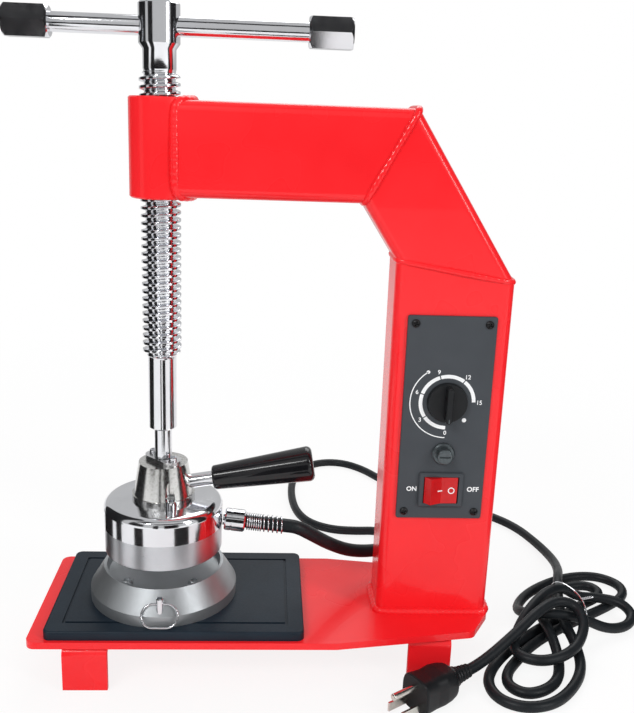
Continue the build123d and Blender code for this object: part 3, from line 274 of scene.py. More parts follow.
ink = Finish("print_white")
print_white = ink.wear(
    ink.blend(ink.grain(0.001), (0.80, 0.81, 0.82), (0.92, 0.93, 0.94)),
    0.5 + 0.1 * ink.grain(0.001),
)
print("painted and moulded finishes ready")

# %% [markdown]
# ## Metals
# Polished steel is a mirror with the finest scratches, and what it shows is the
# room. Turned parts carry rings round their own axis, so their noise is drawn
# out level and squeezed in height. Cast aluminium is duller, with soft pits.

# %% Metals
chrome = Finish("polished_steel", Metallic=1.0)
polished_steel = chrome.wear(
    chrome.blend(chrome.grain(0.02), (0.74, 0.75, 0.78), (0.86, 0.87, 0.90)),
    0.06 + 0.10 * chrome.grain(0.006, 4.0),
    chrome.grain(0.001, 2.0, (6, 6, 0.3)),
    0.00001,
)

turned = Finish("turned_steel", Metallic=1.0)
turned_steel = turned.wear(
    turned.blend(turned.grain(0.01), (0.50, 0.51, 0.52), (0.66, 0.66, 0.67)),
    0.20 + 0.16 * turned.grain(0.001, 3.0, (8, 8, 0.4)),
    turned.grain(0.001, 2.0, (8, 8, 0.3)),
    0.00002,
)

band = Finish("turned_aluminium", Metallic=1.0)
turned_aluminium = band.wear(
    band.blend(band.grain(0.012), (0.55, 0.57, 0.60), (0.72, 0.74, 0.77)),
    0.24 + 0.14 * band.grain(0.0012, 3.0, (10, 10, 0.5)),
    band.grain(0.001, 2.0, (10, 10, 0.3)),
    0.00002,
)

cast = Finish("cast_aluminium_grey", Metallic=0.85)
pits = cast.grain(0.0011, 5.0)
cast_grey = cast.wear(
    cast.blend(cast.grain(0.02, 4.0), (0.34, 0.36, 0.37), (0.48, 0.50, 0.52)),
    0.34 + 0.16 * cast.grain(0.004),
    pits,
    0.00006,
)

forged = Finish("ground_cone_steel", Metallic=1.0)
dimples = forged.grain(0.0016, 4.0)
ground_steel = forged.wear(
    forged.blend(dimples.above(0.42, 0.16), (0.50, 0.50, 0.47), (0.74, 0.74, 0.73)),
    0.12 + 0.14 * dimples,
    dimples,
    0.000015,
)

nickel = Finish("pin_nickel", Metallic=1.0)
pin_nickel = nickel.wear(
    nickel.blend(nickel.grain(0.004), (0.62, 0.60, 0.55), (0.80, 0.78, 0.74)),
    0.16 + 0.12 * nickel.grain(0.001),
)

dark = Finish("blackened_screw", Metallic=0.6)
black_screw = dark.wear(
    dark.blend(dark.grain(0.001), (0.010, 0.010, 0.011), (0.030, 0.030, 0.032)),
    0.28 + 0.2 * dark.grain(0.001),
)

smoke = Finish("carrier_metal", Metallic=0.7)
carrier_metal = smoke.wear(
    smoke.blend(smoke.grain(0.002), (0.05, 0.06, 0.065), (0.13, 0.15, 0.16)),
    0.25 + 0.15 * smoke.grain(0.001),
)

mica = Finish("mica_sheet")
mica_sheet = mica.wear(
    mica.blend(mica.grain(0.004, 4.0), (0.42, 0.33, 0.20), (0.62, 0.54, 0.38)),
    0.4 + 0.2 * mica.grain(0.002),
)

glass = Finish("fuse_glass_tube", Coat_Weight=1.0)
fuse_glass = glass.wear(
    glass.blend(glass.grain(0.003), (0.55, 0.60, 0.60), (0.75, 0.78, 0.78)),
    0.05 + 0.05 * glass.grain(0.001),
)
print("metals ready")

# %% [markdown]
# ## Finishes on the carried-over solids
# Most solids already have the right shape, and only their surface is missing.
# One list per finish is easier to check against the parts than a material
# assigned here and there.

# %% Finish every solid
finish_of = {
    red_enamel: "base_plate left_foot right_foot column_tube diagonal_tube arm_tube screw_boss",
    mat_rubber: "rubber_mat",
    panel_grey: "control_panel switch_housing",
    black_screw: "panel_screw_1 panel_screw_2 panel_screw_3 panel_screw_4",
    knob_black: "timer_body timer_knob lead_grommet cord_gland terminal_block power_plug",
    grip_black: "handle_grip",
    cord_jacket: "head_lead lead_stub power_cord cord_hank cord_tail",
    rocker_red: "switch_rocker",
    carrier_metal: "fuse_holder fuse_cap",
    fuse_glass: "fuse",
    pin_nickel: "left_blade right_blade ground_pin",
    polished_steel: "tommy_bar left_bar_knob right_bar_knob head_housing handle_rod"
    " front_clamp_screw rear_clamp_screw front_keeper_screw rear_keeper_screw"
    " ring_pin pull_ring thrust_ball",
    turned_steel: "press_screw keeper_plate timer_shaft lead_coupling relief_spring",
    turned_aluminium: "heater_plate",
    ground_steel: "head_cone",
    cast_grey: "lower_platen platen_screw_1 platen_screw_2 platen_screw_3 platen_screw_4 thermostat",
    mica_sheet: "heating_element insulation_disc",
}
finished = set()
for material, nodes in finish_of.items():
    for node in nodes.split():
        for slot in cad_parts[node].material_slots:
            slot.material = material
        finished.add(node)
missing = sorted(set(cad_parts) - finished)
print("finished", len(finished), "of", len(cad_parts), "missing", missing)

# %% [markdown]
# ## Surfaces from formulas
# A turned bar, a weld bead and a spring are all a section carried along a line.
# Worked out as whole arrays, such a surface is one grid of points, and the grid
# becomes the mesh's faces in one step.


# %% Grid to mesh
def piece(name, points, material, body, round_u=False, caps=True, smooth=True):
    """A grid of points, rows u by columns v, as a mesh: each cell is a face, the last column
    joins the first, round_u joins the last row to the first, and caps close the end rows."""
    points = np.asarray(points, float)
    rows, columns = points.shape[:2]
    u = np.arange(rows if round_u else rows - 1)
    u, v = (index.ravel() for index in np.meshgrid(u, np.arange(columns), indexing="ij"))
    next_u, next_v = (u + 1) % rows, (v + 1) % columns
    this, beyond = u * columns, next_u * columns
    faces = np.stack([this + v, beyond + v, beyond + next_v, this + next_v], axis=1).tolist()
    if caps and not round_u:
        faces += [list(range(columns)), list(range((rows - 1) * columns, rows * columns))]
    mesh = bpy.data.meshes.new(name)
    mesh.from_pydata(points.reshape(-1, 3).tolist(), [], faces)
    return keep(name, mesh, material, body, smooth)


def keep(name, mesh, material, body, smooth):
    """Merge a mesh's doubles, turn its faces outwards, and make it a piece that rides on a
    body, or on none yet."""
    shell = bmesh.new()
    shell.from_mesh(mesh)
    bmesh.ops.remove_doubles(shell, verts=shell.verts, dist=1e-6)
    bmesh.ops.recalc_face_normals(shell, faces=shell.faces)
    shell.to_mesh(mesh)
    shell.free()
    mesh.polygons.foreach_set("use_smooth", [smooth] * len(mesh.polygons))
    if smooth:
        mesh.set_sharp_from_angle(angle=math.radians(40))
    mesh.materials.append(material)
    made = bpy.data.objects.new(name, mesh)
    bpy.context.scene.collection.objects.link(made)
    if body:
        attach(made, body)
    print(name, len(mesh.polygons), "faces")
    return made


def unit(vectors):
    """Vectors divided by their own lengths."""
    return vectors / np.linalg.norm(vectors, axis=-1, keepdims=True)


def squared(wave, power):
    """A wave from -1 to 1 whose flanks are steeper, the smaller the power."""
    return np.sign(wave) * np.abs(wave) ** power


def final_mesh(source):
    """The mesh that an object evaluates to, and its points. The object itself is removed."""
    evaluated = source.evaluated_get(bpy.context.evaluated_depsgraph_get())
    mesh = bpy.data.meshes.new_from_object(evaluated)
    points = np.empty(len(mesh.vertices) * 3)
    mesh.vertices.foreach_get("co", points)
    bpy.data.objects.remove(source)
    return mesh, points.reshape(-1, 3)


def carried(path, beside, radius, sides, closed=False):
    """A round section carried along a path: at each point its circle lies across the path's
    direction, measured from the beside vector, and radius may change along the path."""
    path = np.asarray(path, float)
    if closed:
        ahead = np.roll(path, -1, axis=0) - np.roll(path, 1, axis=0)
    else:
        ahead = np.gradient(path, axis=0)
    ahead = unit(ahead)
    side = unit(np.cross(ahead, np.broadcast_to(beside, path.shape)))
    lift = np.cross(side, ahead)
    angle = np.linspace(0, 2 * np.pi, sides, endpoint=False)[None, :, None]
    reach = np.broadcast_to(radius, len(path))[:, None, None]
    return path[:, None] + reach * (np.cos(angle) * side[:, None] + np.sin(angle) * lift[:, None])


def lathe(profile, steps, origin, way):
    """A profile of (radius, distance) rows turned about a line from origin along way."""
    profile = np.asarray(profile, float)
    way = unit(np.asarray(way, float))
    across = unit(np.cross(way, (0, 1, 0) if abs(way[1]) < 0.9 else (1, 0, 0)))
    other = np.cross(way, across)
    angle = np.linspace(0, 2 * np.pi, steps, endpoint=False)[None, :, None]
    spoke = np.cos(angle) * across + np.sin(angle) * other
    return np.asarray(origin) + profile[:, None, :1] * spoke + profile[:, None, 1:] * way


def evenly(path, spacing):
    """A closed line with its points a steady distance apart, read off its running length."""
    path = np.vstack([path, path[:1]])
    run = np.r_[0, np.cumsum(np.linalg.norm(np.diff(path, axis=0), axis=1))]
    count = max(8, int(run[-1] / spacing))
    at = np.linspace(0, run[-1], count, endpoint=False)
    return np.stack([np.interp(at, run, path[:, k]) for k in range(3)], axis=1)


print("surface helpers ready")

# %% [markdown]
# ## The mains cord
# A rubber lead leaves its gland behind the column, drops to the table, makes
# one wide bow and comes forward, where it is folded into a hank of three loops
# tied at the waist. Modelling each fold as a separate ring would look stacked.
# One spline through the whole route bends as one lead does, and its height
# over each crossing is part of the route.

# %% Mains cord
REST = 4.3      # height of the cord's middle where it lies on the table
LOW = REST      # the hank's lowest layer
LAYER = 8.3     # one cord higher
CORD_RADIUS = 0.0039
from_gland = [
    (206, 42, 92), (206, 66, 90), (206.5, 90, 74), (207, 108, 48), (206.5, 124, 22), (204, 144, 6),
    (197, 165, REST), (180, 178, REST), (158, 176.5, REST), (136, 179, REST), (116, 192, REST),
    (104, 216, REST), (99.5, 252, REST), (101, 292, REST), (110, 326, REST), (131, 347, REST),
    (157, 349, REST), (180, 331, REST), (199, 299, REST), (222, 270, REST), (256, 243, REST),
    (291, 219, REST), (315, 191, REST), (327, 154, REST), (330, 116, 8), (323, 82, 16),
]
first_loop = [
    (314, 58, 22), (309, 40, 18), (305, 20, LOW + LAYER + 0.8), (303.5, 0, LOW + LAYER + 0.8),
    (305, -20, LOW + 5), (302.5, -41, LOW + 0.8), (290, -62, LOW), (271, -80, LOW), (250, -85, LOW),
    (233, -76, LOW), (229, -57, LOW), (239, -36, LOW), (261, -11, LOW), (285, 10, LOW), (310, 29, LOW),
    (334, 48, LOW), (348, 57, LOW), (355, 68, LOW), (347, 79, LOW), (325, 74, LOW), (303, 57, LOW + 0.2),
]
second_loop = [
    (290, 38, LOW + 2), (288, 20, LOW + LAYER), (289, 0, LOW + LAYER + 0.5), (290, -18, LOW + 4),
    (287.5, -36, LOW + 0.8), (281, -54, LOW), (268, -66, LOW), (253, -70, LOW), (243, -60, LOW),
    (246.5, -45, LOW), (258, -30, LOW), (273, -12, LOW), (295, 6, LOW), (321, 24, LOW), (350, 42, LOW),
    (373, 60, LOW), (377, 79, LOW), (362, 94, LOW), (338, 93, LOW), (312, 80, LOW), (290, 62, LOW + 0.3),
]
third_loop = [
    (276, 40, LOW + 2), (273, 20, LOW + 9), (281, 6, LOW + 2.05 * LAYER), (297, 1, LOW + 2.3 * LAYER),
    (317, 2, LOW + 1.75 * LAYER), (338, 6, LOW + 3), (357, 13, LOW + 0.8), (367, 26, LOW + 3.5),
    (360, 38, LOW + LAYER), (343, 44, LOW + LAYER), (325, 41, LOW + 1.3 * LAYER),
    (308, 31, LOW + 3.05 * LAYER), (291, 18, LOW + 3.4 * LAYER), (272, 0, LOW + 2.75 * LAYER),
    (257, -19, LOW + 1.2 * LAYER), (255, -36, LOW + LAYER), (269, -45, LOW + 1.05 * LAYER),
    (287, -41, LOW + 1.15 * LAYER), (303, -29, LOW + 1.4 * LAYER), (313, -12, LOW + 2.5 * LAYER),
    (309, 3, LOW + 3.2 * LAYER), (294, 4, LOW + 3.5 * LAYER), (277, -8, LOW + 3.2 * LAYER),
]
plug_way = unit(np.array([-0.83, -0.557, 0]))
plug_end = np.array([215.5, -54, 0])
cord_entry = plug_end + (0, 0, 12)
to_plug = [(261, -21, LOW + 2.4 * LAYER), tuple(cord_entry - 14 * plug_way), tuple(cord_entry)]
route = from_gland + first_loop + second_loop + third_loop + to_plug
cord_points = np.array(route) / 1000 + (AXIS, 0, 0)


def spline(name, points, bevel):
    """A curve object of one open NURBS spline of order three, with these control points."""
    data = bpy.data.curves.new(name, "CURVE")
    data.dimensions = "3D"
    data.resolution_u = 6
    line = data.splines.new("NURBS")
    line.points.add(len(points) - 1)
    line.points.foreach_set("co", np.c_[points, np.ones(len(points))].ravel())
    line.order_u = 3
    line.use_endpoint_u = True
    data.bevel_depth = bevel
    data.bevel_resolution = 5
    data.use_fill_caps = bevel > 0
    made = bpy.data.objects.new(name, data)
    bpy.context.scene.collection.objects.link(made)
    return made


mains_cord = spline("mains_cord", cord_points, CORD_RADIUS)
mains_cord.data.materials.append(cord_jacket)
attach(mains_cord, "frame")
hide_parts("power_cord", "cord_hank", "cord_tail")
print("mains cord", len(cord_points), "control points")

# %% [markdown]
# ## The plug
# A moulded plug is one soft form: a ribbed sleeve that grows out of the cord, a
# waist for the fingers and a flat face with the blades. Each cross-section is a
# squared circle, and its width, height and squareness change along the plug, so
# two parameters describe the whole body.

# %% Plug body
SLEEVE_LENGTH, RIB_PITCH, RIB_DEPTH = 16, 3.2, 0.7
along = np.r_[np.linspace(0, SLEEVE_LENGTH, 65), np.linspace(16.3, 49, 40), 49.7, 50.0]
ribs = 0.5 * (1 - np.cos(2 * np.pi * along / RIB_PITCH)) * (along < SLEEVE_LENGTH)
half_width = np.interp(
    along, [0, 10, 16, 20, 30, 38, 49, 50], [4.9, 6.0, 8.2, 11.6, 12.3, 11.6, 12.4, 11.8],
) - RIB_DEPTH * ribs
bottom = np.interp(
    along, [0, 10, 16, 20, 30, 49, 50], [7.1, 6.2, 4.2, 1.2, 0.2, 0.0, 0.5],
) + RIB_DEPTH * ribs
top = np.interp(
    along, [0, 10, 16, 20, 30, 40, 49, 50], [16.9, 18.2, 20.6, 23.6, 25.0, 24.6, 25.4, 24.8],
) - RIB_DEPTH * ribs
squareness = np.interp(along, [0, 16, 24, 50], [1.0, 1.0, 0.62, 0.55])
angle = np.linspace(0, 2 * np.pi, 48, endpoint=False)
power = squareness[:, None]
sideways = half_width[:, None] * squared(np.cos(angle), power)
middle, reach = (bottom + top)[:, None] / 2, (top - bottom)[:, None] / 2
height = middle + reach * squared(np.sin(angle), power)
plug_across = np.cross(plug_way, (0, 0, 1))
body_points = (
    (plug_end + (AXIS * 1000, 0, 0))
    + along[:, None, None] * plug_way
    + sideways[..., None] * plug_across
    + height[..., None] * np.array([0, 0, 1])
)
plug_body = piece("plug_body", body_points / 1000, knob_black, "frame")
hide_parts("power_plug")

# %% [markdown]
# ## The twist tie
# A paper-covered wire holds the hank at its waist. It is one loop that stands
# round the bundle, flattened where it lies on the strands, and its two ends are
# twisted together, which a pair of short helices shows.

# %% Twist tie
turn = np.linspace(0, 2 * np.pi, 90, endpoint=False)
tie_middle = np.array([306.5, 11.0, 20.6])
tie_across = unit(np.array([10.0, -23.0, 0.0]))
loop = (
    tie_middle
    + 21.0 * squared(np.cos(turn), 0.8)[:, None] * tie_across
    + 19.8 * squared(np.sin(turn), 0.7)[:, None] * np.array([0, 0, 1])
)
loop = loop / 1000 + (AXIS, 0, 0)
tie_side = np.cross(tie_across, (0, 0, 1))
twist_tie = piece(
    "twist_tie", carried(loop, tie_side, 0.00055, 8, closed=True),
    polished_steel, "frame", round_u=True,
)

step = np.linspace(0, 1, 60)
ends_root = tie_middle + 14 * tie_across + (0, 0, 17.5)
for number, phase in enumerate((0, np.pi)):
    spin = 2 * np.pi * 3 * step + phase
    wander = np.stack([np.cos(spin), np.sin(spin), 0 * spin], axis=1) * 0.7
    line = (ends_root + wander + step[:, None] * np.array([6.0, -4.0, 4.0])) / 1000 + (AXIS, 0, 0)
    piece(
        f"tie_end_{number + 1}", carried(line, (1, 1, 0), 0.0005, 6),
        polished_steel, "frame",
    )

GLAND_X, GLAND_Z = AXIS + 0.206, 0.092

# %% [markdown]
# ## The gland
# The cord must not chafe on the column's edge, so a moulded sleeve with soft
# ribs grips it. The solid has the sleeve's cone, and the ribs are rings that
# follow it, since a rib is what lets the sleeve bend.

# %% Gland ribs
distance = np.linspace(6.5, 21.4, 120)
cone_radius = np.interp(distance, [5, 22], [7.5, 5.4])
ribbed = cone_radius + 0.55 * np.clip(np.sin(2 * np.pi * (distance - 6.5) / 3.0), 0, 1)
sleeve_radius = np.r_[cone_radius[0] - 1, ribbed, cone_radius[-1] - 1]
sleeve = np.c_[sleeve_radius, np.r_[distance[0], distance, distance[-1]]] / 1000
piece(
    "gland_ribs",
    lathe(sleeve, 40, (GLAND_X, 0.020, GLAND_Z), (0, 1, 0)),
    knob_black, "frame",
)

# %% [markdown]
# ## The head's lead
# A heat-proof hose joins the moving head to the fixed column, so it has to bend
# when the head goes up or swings. It is one spline, cut at a point in its middle
# into two tubes: one runs between the column and the screw's thrust, the other
# between the thrust and the head.

# %% Head lead
LEAD_RADIUS = 0.0049
lead_tilt = math.radians(-6.5)
lead_way = np.array([math.cos(lead_tilt), 0, math.sin(lead_tilt)])
coupling_root = np.array([AXIS + 0.0412, 0, 0.1002])
lead_route = np.vstack([
    coupling_root + lead_way * np.array([0.0165, 0.032, 0.046, 0.055])[:, None],
    np.array([
        (107, 5, 85.5), (121, 14, 73.5), (137, 24, 63), (154.5, 34, 57.5), (172, 41.5, 57),
        (187, 43, 58.5), (199, 38, 60), (199, 23, 60),
    ]) / 1000 + (AXIS, 0, 0),
])


def spline_line(points):
    """The points along a NURBS spline, as its curve without thickness gives them."""
    mesh, line = final_mesh(spline("guide", points, 0.0))
    bpy.data.meshes.remove(mesh)
    return line


bpy.context.view_layer.update()
lead_line = spline_line(lead_route)
cut = int(np.argmin(np.abs(lead_line[:, 0] - (AXIS + 0.128))))
head_half, frame_half = lead_line[: cut + 1], lead_line[cut:][::-1]


def hose(name, line):
    """A tube of the lead's diameter along a line, not yet riding on anything."""
    tube = carried(line, (0.3, 0.2, 1.0), LEAD_RADIUS, 20)
    return piece(name, tube, cord_jacket, None)


head_hose = hose("head_hose", head_half)
frame_hose = hose("frame_hose", frame_half)
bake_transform(head_hose)
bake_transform(frame_hose)
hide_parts("lead_stub")
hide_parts("head_lead")

# %% [markdown]
# ## The relief spring
# Where the hose leaves the coupling a spring keeps it from kinking: a few turns
# wound close, then open ones. A helix is a circle that rises with its angle, so
# the whole spring is one formula with a change of pitch.

# %% Relief spring
CLOSE_TURNS, CLOSE_PITCH, OPEN_PITCH = 7, 1.6, 3.2
COIL_RADIUS, WIRE_RADIUS = 0.00575, 0.00055
turns = np.linspace(0, 12, 12 * 28 + 1)
close_turns = np.minimum(turns, CLOSE_TURNS)
open_turns = np.maximum(turns - CLOSE_TURNS, 0)
rise = CLOSE_PITCH * close_turns + OPEN_PITCH * open_turns
spring_start = coupling_root + lead_way * (0.017 + 0.00085)
spring_side = np.array([0.0, 1.0, 0.0])
spring_up = np.cross(lead_way, spring_side)
spring_angle = 2 * np.pi * turns
spoke = np.cos(spring_angle)[:, None] * spring_side + np.sin(spring_angle)[:, None] * spring_up
coil = spring_start + rise[:, None] / 1000 * lead_way + COIL_RADIUS * spoke
relief_coil = piece(
    "relief_coil", carried(coil, lead_way, WIRE_RADIUS, 10), polished_steel, "head",
)
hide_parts("relief_spring")

# %% [markdown]
# ## The coupling
# The hose is held by a turned sleeve that screws on a short nipple in the
# housing's side. A sleeve is a profile turned about the hose's axis, and its
# bore is part of the same profile, so the hose really enters it.

# %% Coupling sleeve
sleeve_line = np.array([
    (0, 1.0), (4.5, 1.0), (4.5, 2.2), (7.0, 2.2), (8.0, 3.2), (8.0, 6.4), (7.7, 6.7),
    (7.7, 7.3), (8.0, 7.6), (8.0, 15.9), (7.0, 17.0), (5.3, 17.0), (5.3, 8.0), (0, 8.0),
]) / 1000
coupling_sleeve = piece(
    "coupling_sleeve", lathe(sleeve_line, 56, coupling_root, lead_way),
    polished_steel, "head", caps=False,
)
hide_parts("lead_coupling")

# %% [markdown]
# ## The press screw
# A press carries its load on a coarse thread with flat crests. A thread is not a
# stack of rings: its radius depends on height and angle together, so one wave
# that climbs one pitch a turn gives both flanks, and it fades out at its ends.

# %% Press screw
PITCH_OF_THREAD = 5.0
THREAD_LOW, THREAD_HIGH = 222.0, 404.2
ROOT, CREST = 9.9, 13.0
outline = np.array([
    (132, 0), (132, 5), (133, 6), (143.7, 6), (143.71, 4.2), (147.3, 4.2), (147.31, 6), (169, 6),
    (169.01, 8.5), (170, 9.5), (219.5, 9.5), (221, ROOT), (THREAD_HIGH, ROOT), (406.7, 10.5),
    (418.3, 10.5), (421.7, 13), (421.9, 13), (444.9, 13), (446.5, 11.4), (446.5, 0),
])
threaded = np.linspace(220, 406, 745)
heights = np.r_[outline[:11, 0], threaded, outline[13:, 0]]
plain = np.r_[outline[:11, 1], np.interp(threaded, outline[:, 0], outline[:, 1]), outline[13:, 1]]
screw_angle = np.linspace(0, 2 * np.pi, 60, endpoint=False)
phase = (heights[:, None] / PITCH_OF_THREAD - screw_angle / (2 * np.pi)) % 1.0
crest = np.clip(2.6 * (0.5 - np.abs(2 * phase - 1)) + 0.55, 0, 1)
fade_in = np.clip((heights - THREAD_LOW + 1) / 3, 0, 1)
fade = fade_in * np.clip((THREAD_HIGH + 1 - heights) / 3, 0, 1)
screw_radius = plain[:, None] + (CREST - ROOT) * crest * fade[:, None] * (plain < 10.6)[:, None]
screw_points = np.stack(
    [
        AXIS * 1000 + screw_radius * np.cos(screw_angle),
        screw_radius * np.sin(screw_angle),
        np.broadcast_to(heights[:, None], screw_radius.shape),
    ],
    axis=2,
) / 1000
threaded_screw = piece(
    "threaded_screw", screw_points, polished_steel, "screw", caps=False,
)
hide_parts("press_screw")

# %% [markdown]
# ## Weld beads
# The tubes are joined by hand, and the bead's ripples show under the paint. A
# bead is a rope along the joint whose thickness swells at every step of the
# torch. On a mitred tube the joint is the tube's own outline stretched along
# the cut, which a squared circle gives.


# %% Weld beads
def outline_of(middle, first, second, square=0.25):
    """A squared circle about a middle point, reaching the first and second vectors."""
    turn = np.linspace(0, 2 * np.pi, 720, endpoint=False)
    across = squared(np.cos(turn), square)[:, None]
    over = squared(np.sin(turn), square)[:, None]
    return np.asarray(middle) + across * np.asarray(first) + over * np.asarray(second)


def bead(name, line, radius, seed):
    """A weld bead along a closed line in millimetres. Its radius swells with each torch step,
    and the seed shifts where."""
    line = evenly(line / 1000, 0.0008)
    run = np.arange(len(line)) * 0.8
    swell = 1 + 0.045 * np.sin(2 * np.pi * run / 4.4 + seed) + 0.08 * np.sin(run / 9.0 + seed)
    middle = line.mean(axis=0)
    rope = carried(line, unit(line - middle), radius / 1000 * swell, 12, closed=True)
    return piece(name, rope, red_enamel, "frame", round_u=True)


elbow_out, elbow_in = np.array([93.5, 0, 388.5]), np.array([60.92, 0, 328.5])
knee_out, knee_in = np.array([164.0, 0, 279.94]), np.array([84.0, 0, 292.96])
for name, outer, inner, radius, seed in (
    ("elbow_bead", elbow_out, elbow_in, 2.4, 0.0),
    ("knee_bead", knee_out, knee_in, 2.2, 1.0),
):
    mitre = outline_of((outer + inner) / 2, (outer - inner) / 2 * 0.985, (0, 19.6, 0))
    bead(name, mitre, radius, seed)
bead("foot_bead", outline_of((124, 0, 37.6), (40.3, 0, 0), (0, 20.3, 0), 0.2), 3.0, 2.0)
flat_ring = outline_of((0, 0, 358.5), (0, 17.9, 0), (0, 0, 29.6), 0.2)
flat_ring[:, 0] = AXIS * 1000 + np.sqrt(21.0**2 - flat_ring[:, 1] ** 2)
bead("boss_bead", flat_ring, 3.2, 3.0)

# %% [markdown]
# ## The pull ring
# The small wire ring through the post is bent from round wire. Its line is two
# half circles joined by straights, which one formula gives when the circle's
# middle jumps from side to side.

# %% Pull ring
BEND_RADIUS, HALF_STRAIGHT = 7.8, 4.5
ring_turn = np.linspace(0, 2 * np.pi, 96, endpoint=False)
lean = math.radians(63)
hang = np.array([0, -math.cos(lean), -math.sin(lean)])
ring_across = HALF_STRAIGHT * np.sign(np.cos(ring_turn)) + BEND_RADIUS * np.cos(ring_turn)
ring_line = (
    np.array([-67.5, -48.5, 59.4])
    + ring_across[:, None] * np.array([1.0, 0, 0])
    + (BEND_RADIUS + BEND_RADIUS * np.sin(ring_turn))[:, None] * hang
) / 1000
ring_wire = carried(evenly(ring_line, 0.0007), np.cross((1, 0, 0), hang), 0.0007, 12, closed=True)
wire_ring = piece(
    "wire_ring", ring_wire, polished_steel, "ring", round_u=True,
)
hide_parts("pull_ring")

# %% [markdown]
# ## The printed dial
# The scale is screen-printed in white: minutes on a broad arc with gaps, a thin
# arc outside it, and a dot for continuous heat. Print has almost no thickness,
# so each mark is a thin band carried round an arc a hair above the panel.

# %% Dial arcs
PANEL_X = 123.5
PANEL_FACE = -22.0
DIAL_Z = 197.9
SWITCH_Z = 134.4
BAND_SWEEP, BAND_GAP = 54, 1.2
HEAT_RADIUS, HEAT_START = 25.35, 124
FULL_TURN = 359.9


def arc_mark(
    name, inner, outer, start, end, z=DIAL_Z, x=PANEL_X, body="frame", face=PANEL_FACE,
):
    """A flat band between two radii, from one angle in degrees to another, seen from the front."""
    sweep = np.radians(np.linspace(start, end, max(8, int(abs(end - start) / 3))))
    radius = np.array([inner, outer, outer, inner])
    depth = np.array([face + 0.02, face + 0.02, face - 0.08, face - 0.08])
    points = np.stack(
        [
            x + radius * np.cos(sweep)[:, None],
            np.broadcast_to(depth, (len(sweep), 4)),
            z + radius * np.sin(sweep)[:, None],
        ],
        axis=2,
    )
    return piece(name, points / 1000, print_white, body, smooth=False)


def on_dial(radius, degrees):
    """The x and z in millimetres of the point at a radius and an angle on the dial."""
    at = math.radians(degrees)
    return PANEL_X + radius * math.cos(at), DIAL_Z + radius * math.sin(at)


def dot_mark(name, radius, x, z):
    """A round dot on the panel."""
    arc_mark(name, 0.01, radius, 0, FULL_TURN, z, x)


for number in range(5):
    start = -90 - BAND_SWEEP * number
    end = start - BAND_SWEEP + BAND_GAP
    arc_mark(f"minute_band_{number + 1}", 16.9, 19.4, start - (BAND_GAP if number else 0.0), end)
arc_mark("heat_arc", 25.0, 25.7, HEAT_START, 270)
dot_mark("heat_dot", 1.2, *on_dial(HEAT_RADIUS, HEAT_START))
dot_mark("steady_dot", 1.5, PANEL_X + 12.6, DIAL_Z - 12.6)

# %% [markdown]
# ## Numbers and switch marks
# A text object is the simplest way to get clean figures. It is made a mesh
# before it is placed, because its own plane is the floor and the panel stands
# upright.


# %% Figures
def figure(name, text, size, x, z, weight=0.06):
    """Text as a thin mesh, its middle at x and z in millimetres, a hair in front of the panel."""
    data = bpy.data.curves.new(name, "FONT")
    data.body = text
    data.size = size / 1000
    data.align_x = "CENTER"
    data.align_y = "CENTER"
    data.offset = weight / 1000
    data.extrude = 0.00005
    data.resolution_u = 4
    holder = bpy.data.objects.new(name, data)
    bpy.context.scene.collection.objects.link(holder)
    mesh, flat = final_mesh(holder)
    away = PANEL_FACE / 1000 - flat[:, 2]
    placed = np.stack([flat[:, 0] + x / 1000, away, flat[:, 1] + z / 1000], axis=1)
    mesh.vertices.foreach_set("co", placed.ravel())
    mesh.materials.clear()
    return keep(name, mesh, print_white, "frame", smooth=False)


FIGURE_RADIUS, DEGREES_A_MINUTE = 22.0, 18
for minutes in (0, 3, 6, 9, 12, 15):
    place = on_dial(FIGURE_RADIUS, -90 - DEGREES_A_MINUTE * minutes)
    figure(f"minutes_{minutes}", str(minutes), 4.2, *place)
figure("mark_on", "ON", 4.6, PANEL_X - 20.2, SWITCH_Z, weight=0.12)
figure("mark_off", "OFF", 4.8, PANEL_X + 22.8, SWITCH_Z, weight=0.12)

# %% [markdown]
# ## Marks on the rocker and the timer's pointer
# These ride with the parts that carry them, so they turn with the knob and tip
# with the rocker. The rocker's pressed half is flat and level with the bezel.

# %% Marks that move
rocker_face = -24.9
bar_x, bar_y = np.array([(-2.5, -25.85), (0.8, -24.65)]).T
bar_grid = np.stack(
    [
        np.stack([PANEL_X + bar_x, bar_y + deep, np.full(2, SWITCH_Z + high)], axis=1)
        for deep, high in ((0, 0.4), (0, -0.4), (0.3, -0.4), (0.3, 0.4))
    ],
    axis=1,
)
piece("mark_bar", bar_grid / 1000, print_white, "rocker", smooth=False)
arc_mark(
    "mark_circle", 1.7, 2.35, 0, FULL_TURN, SWITCH_Z, PANEL_X + 7.2, "rocker", rocker_face + 0.55,
)

KNOB_GAP, KNOB_DEPTH = 0.5, 11.0
pointer_face = PANEL_FACE - KNOB_GAP - KNOB_DEPTH
pointer_x, pointer_z = np.array([(-0.4, -11.4), (0.4, -11.4), (0.4, -8.6), (-0.4, -8.6)]).T
pointer_grid = np.stack(
    [
        np.stack([PANEL_X + pointer_x, np.full(4, pointer_face - deep), DIAL_Z + pointer_z], axis=1)
        for deep in (0.06, -0.4)
    ]
)
piece("pointer_line", pointer_grid / 1000, carrier_metal, "timer_dial", smooth=False)

# %% [markdown]
# ## The panel's screws
# Four round-headed screws have a crossed slot. A dome is a height over radius
# and angle, and the slot is taken off that height where the point lies near one
# of the cross's two arms, so head and recess are one surface.

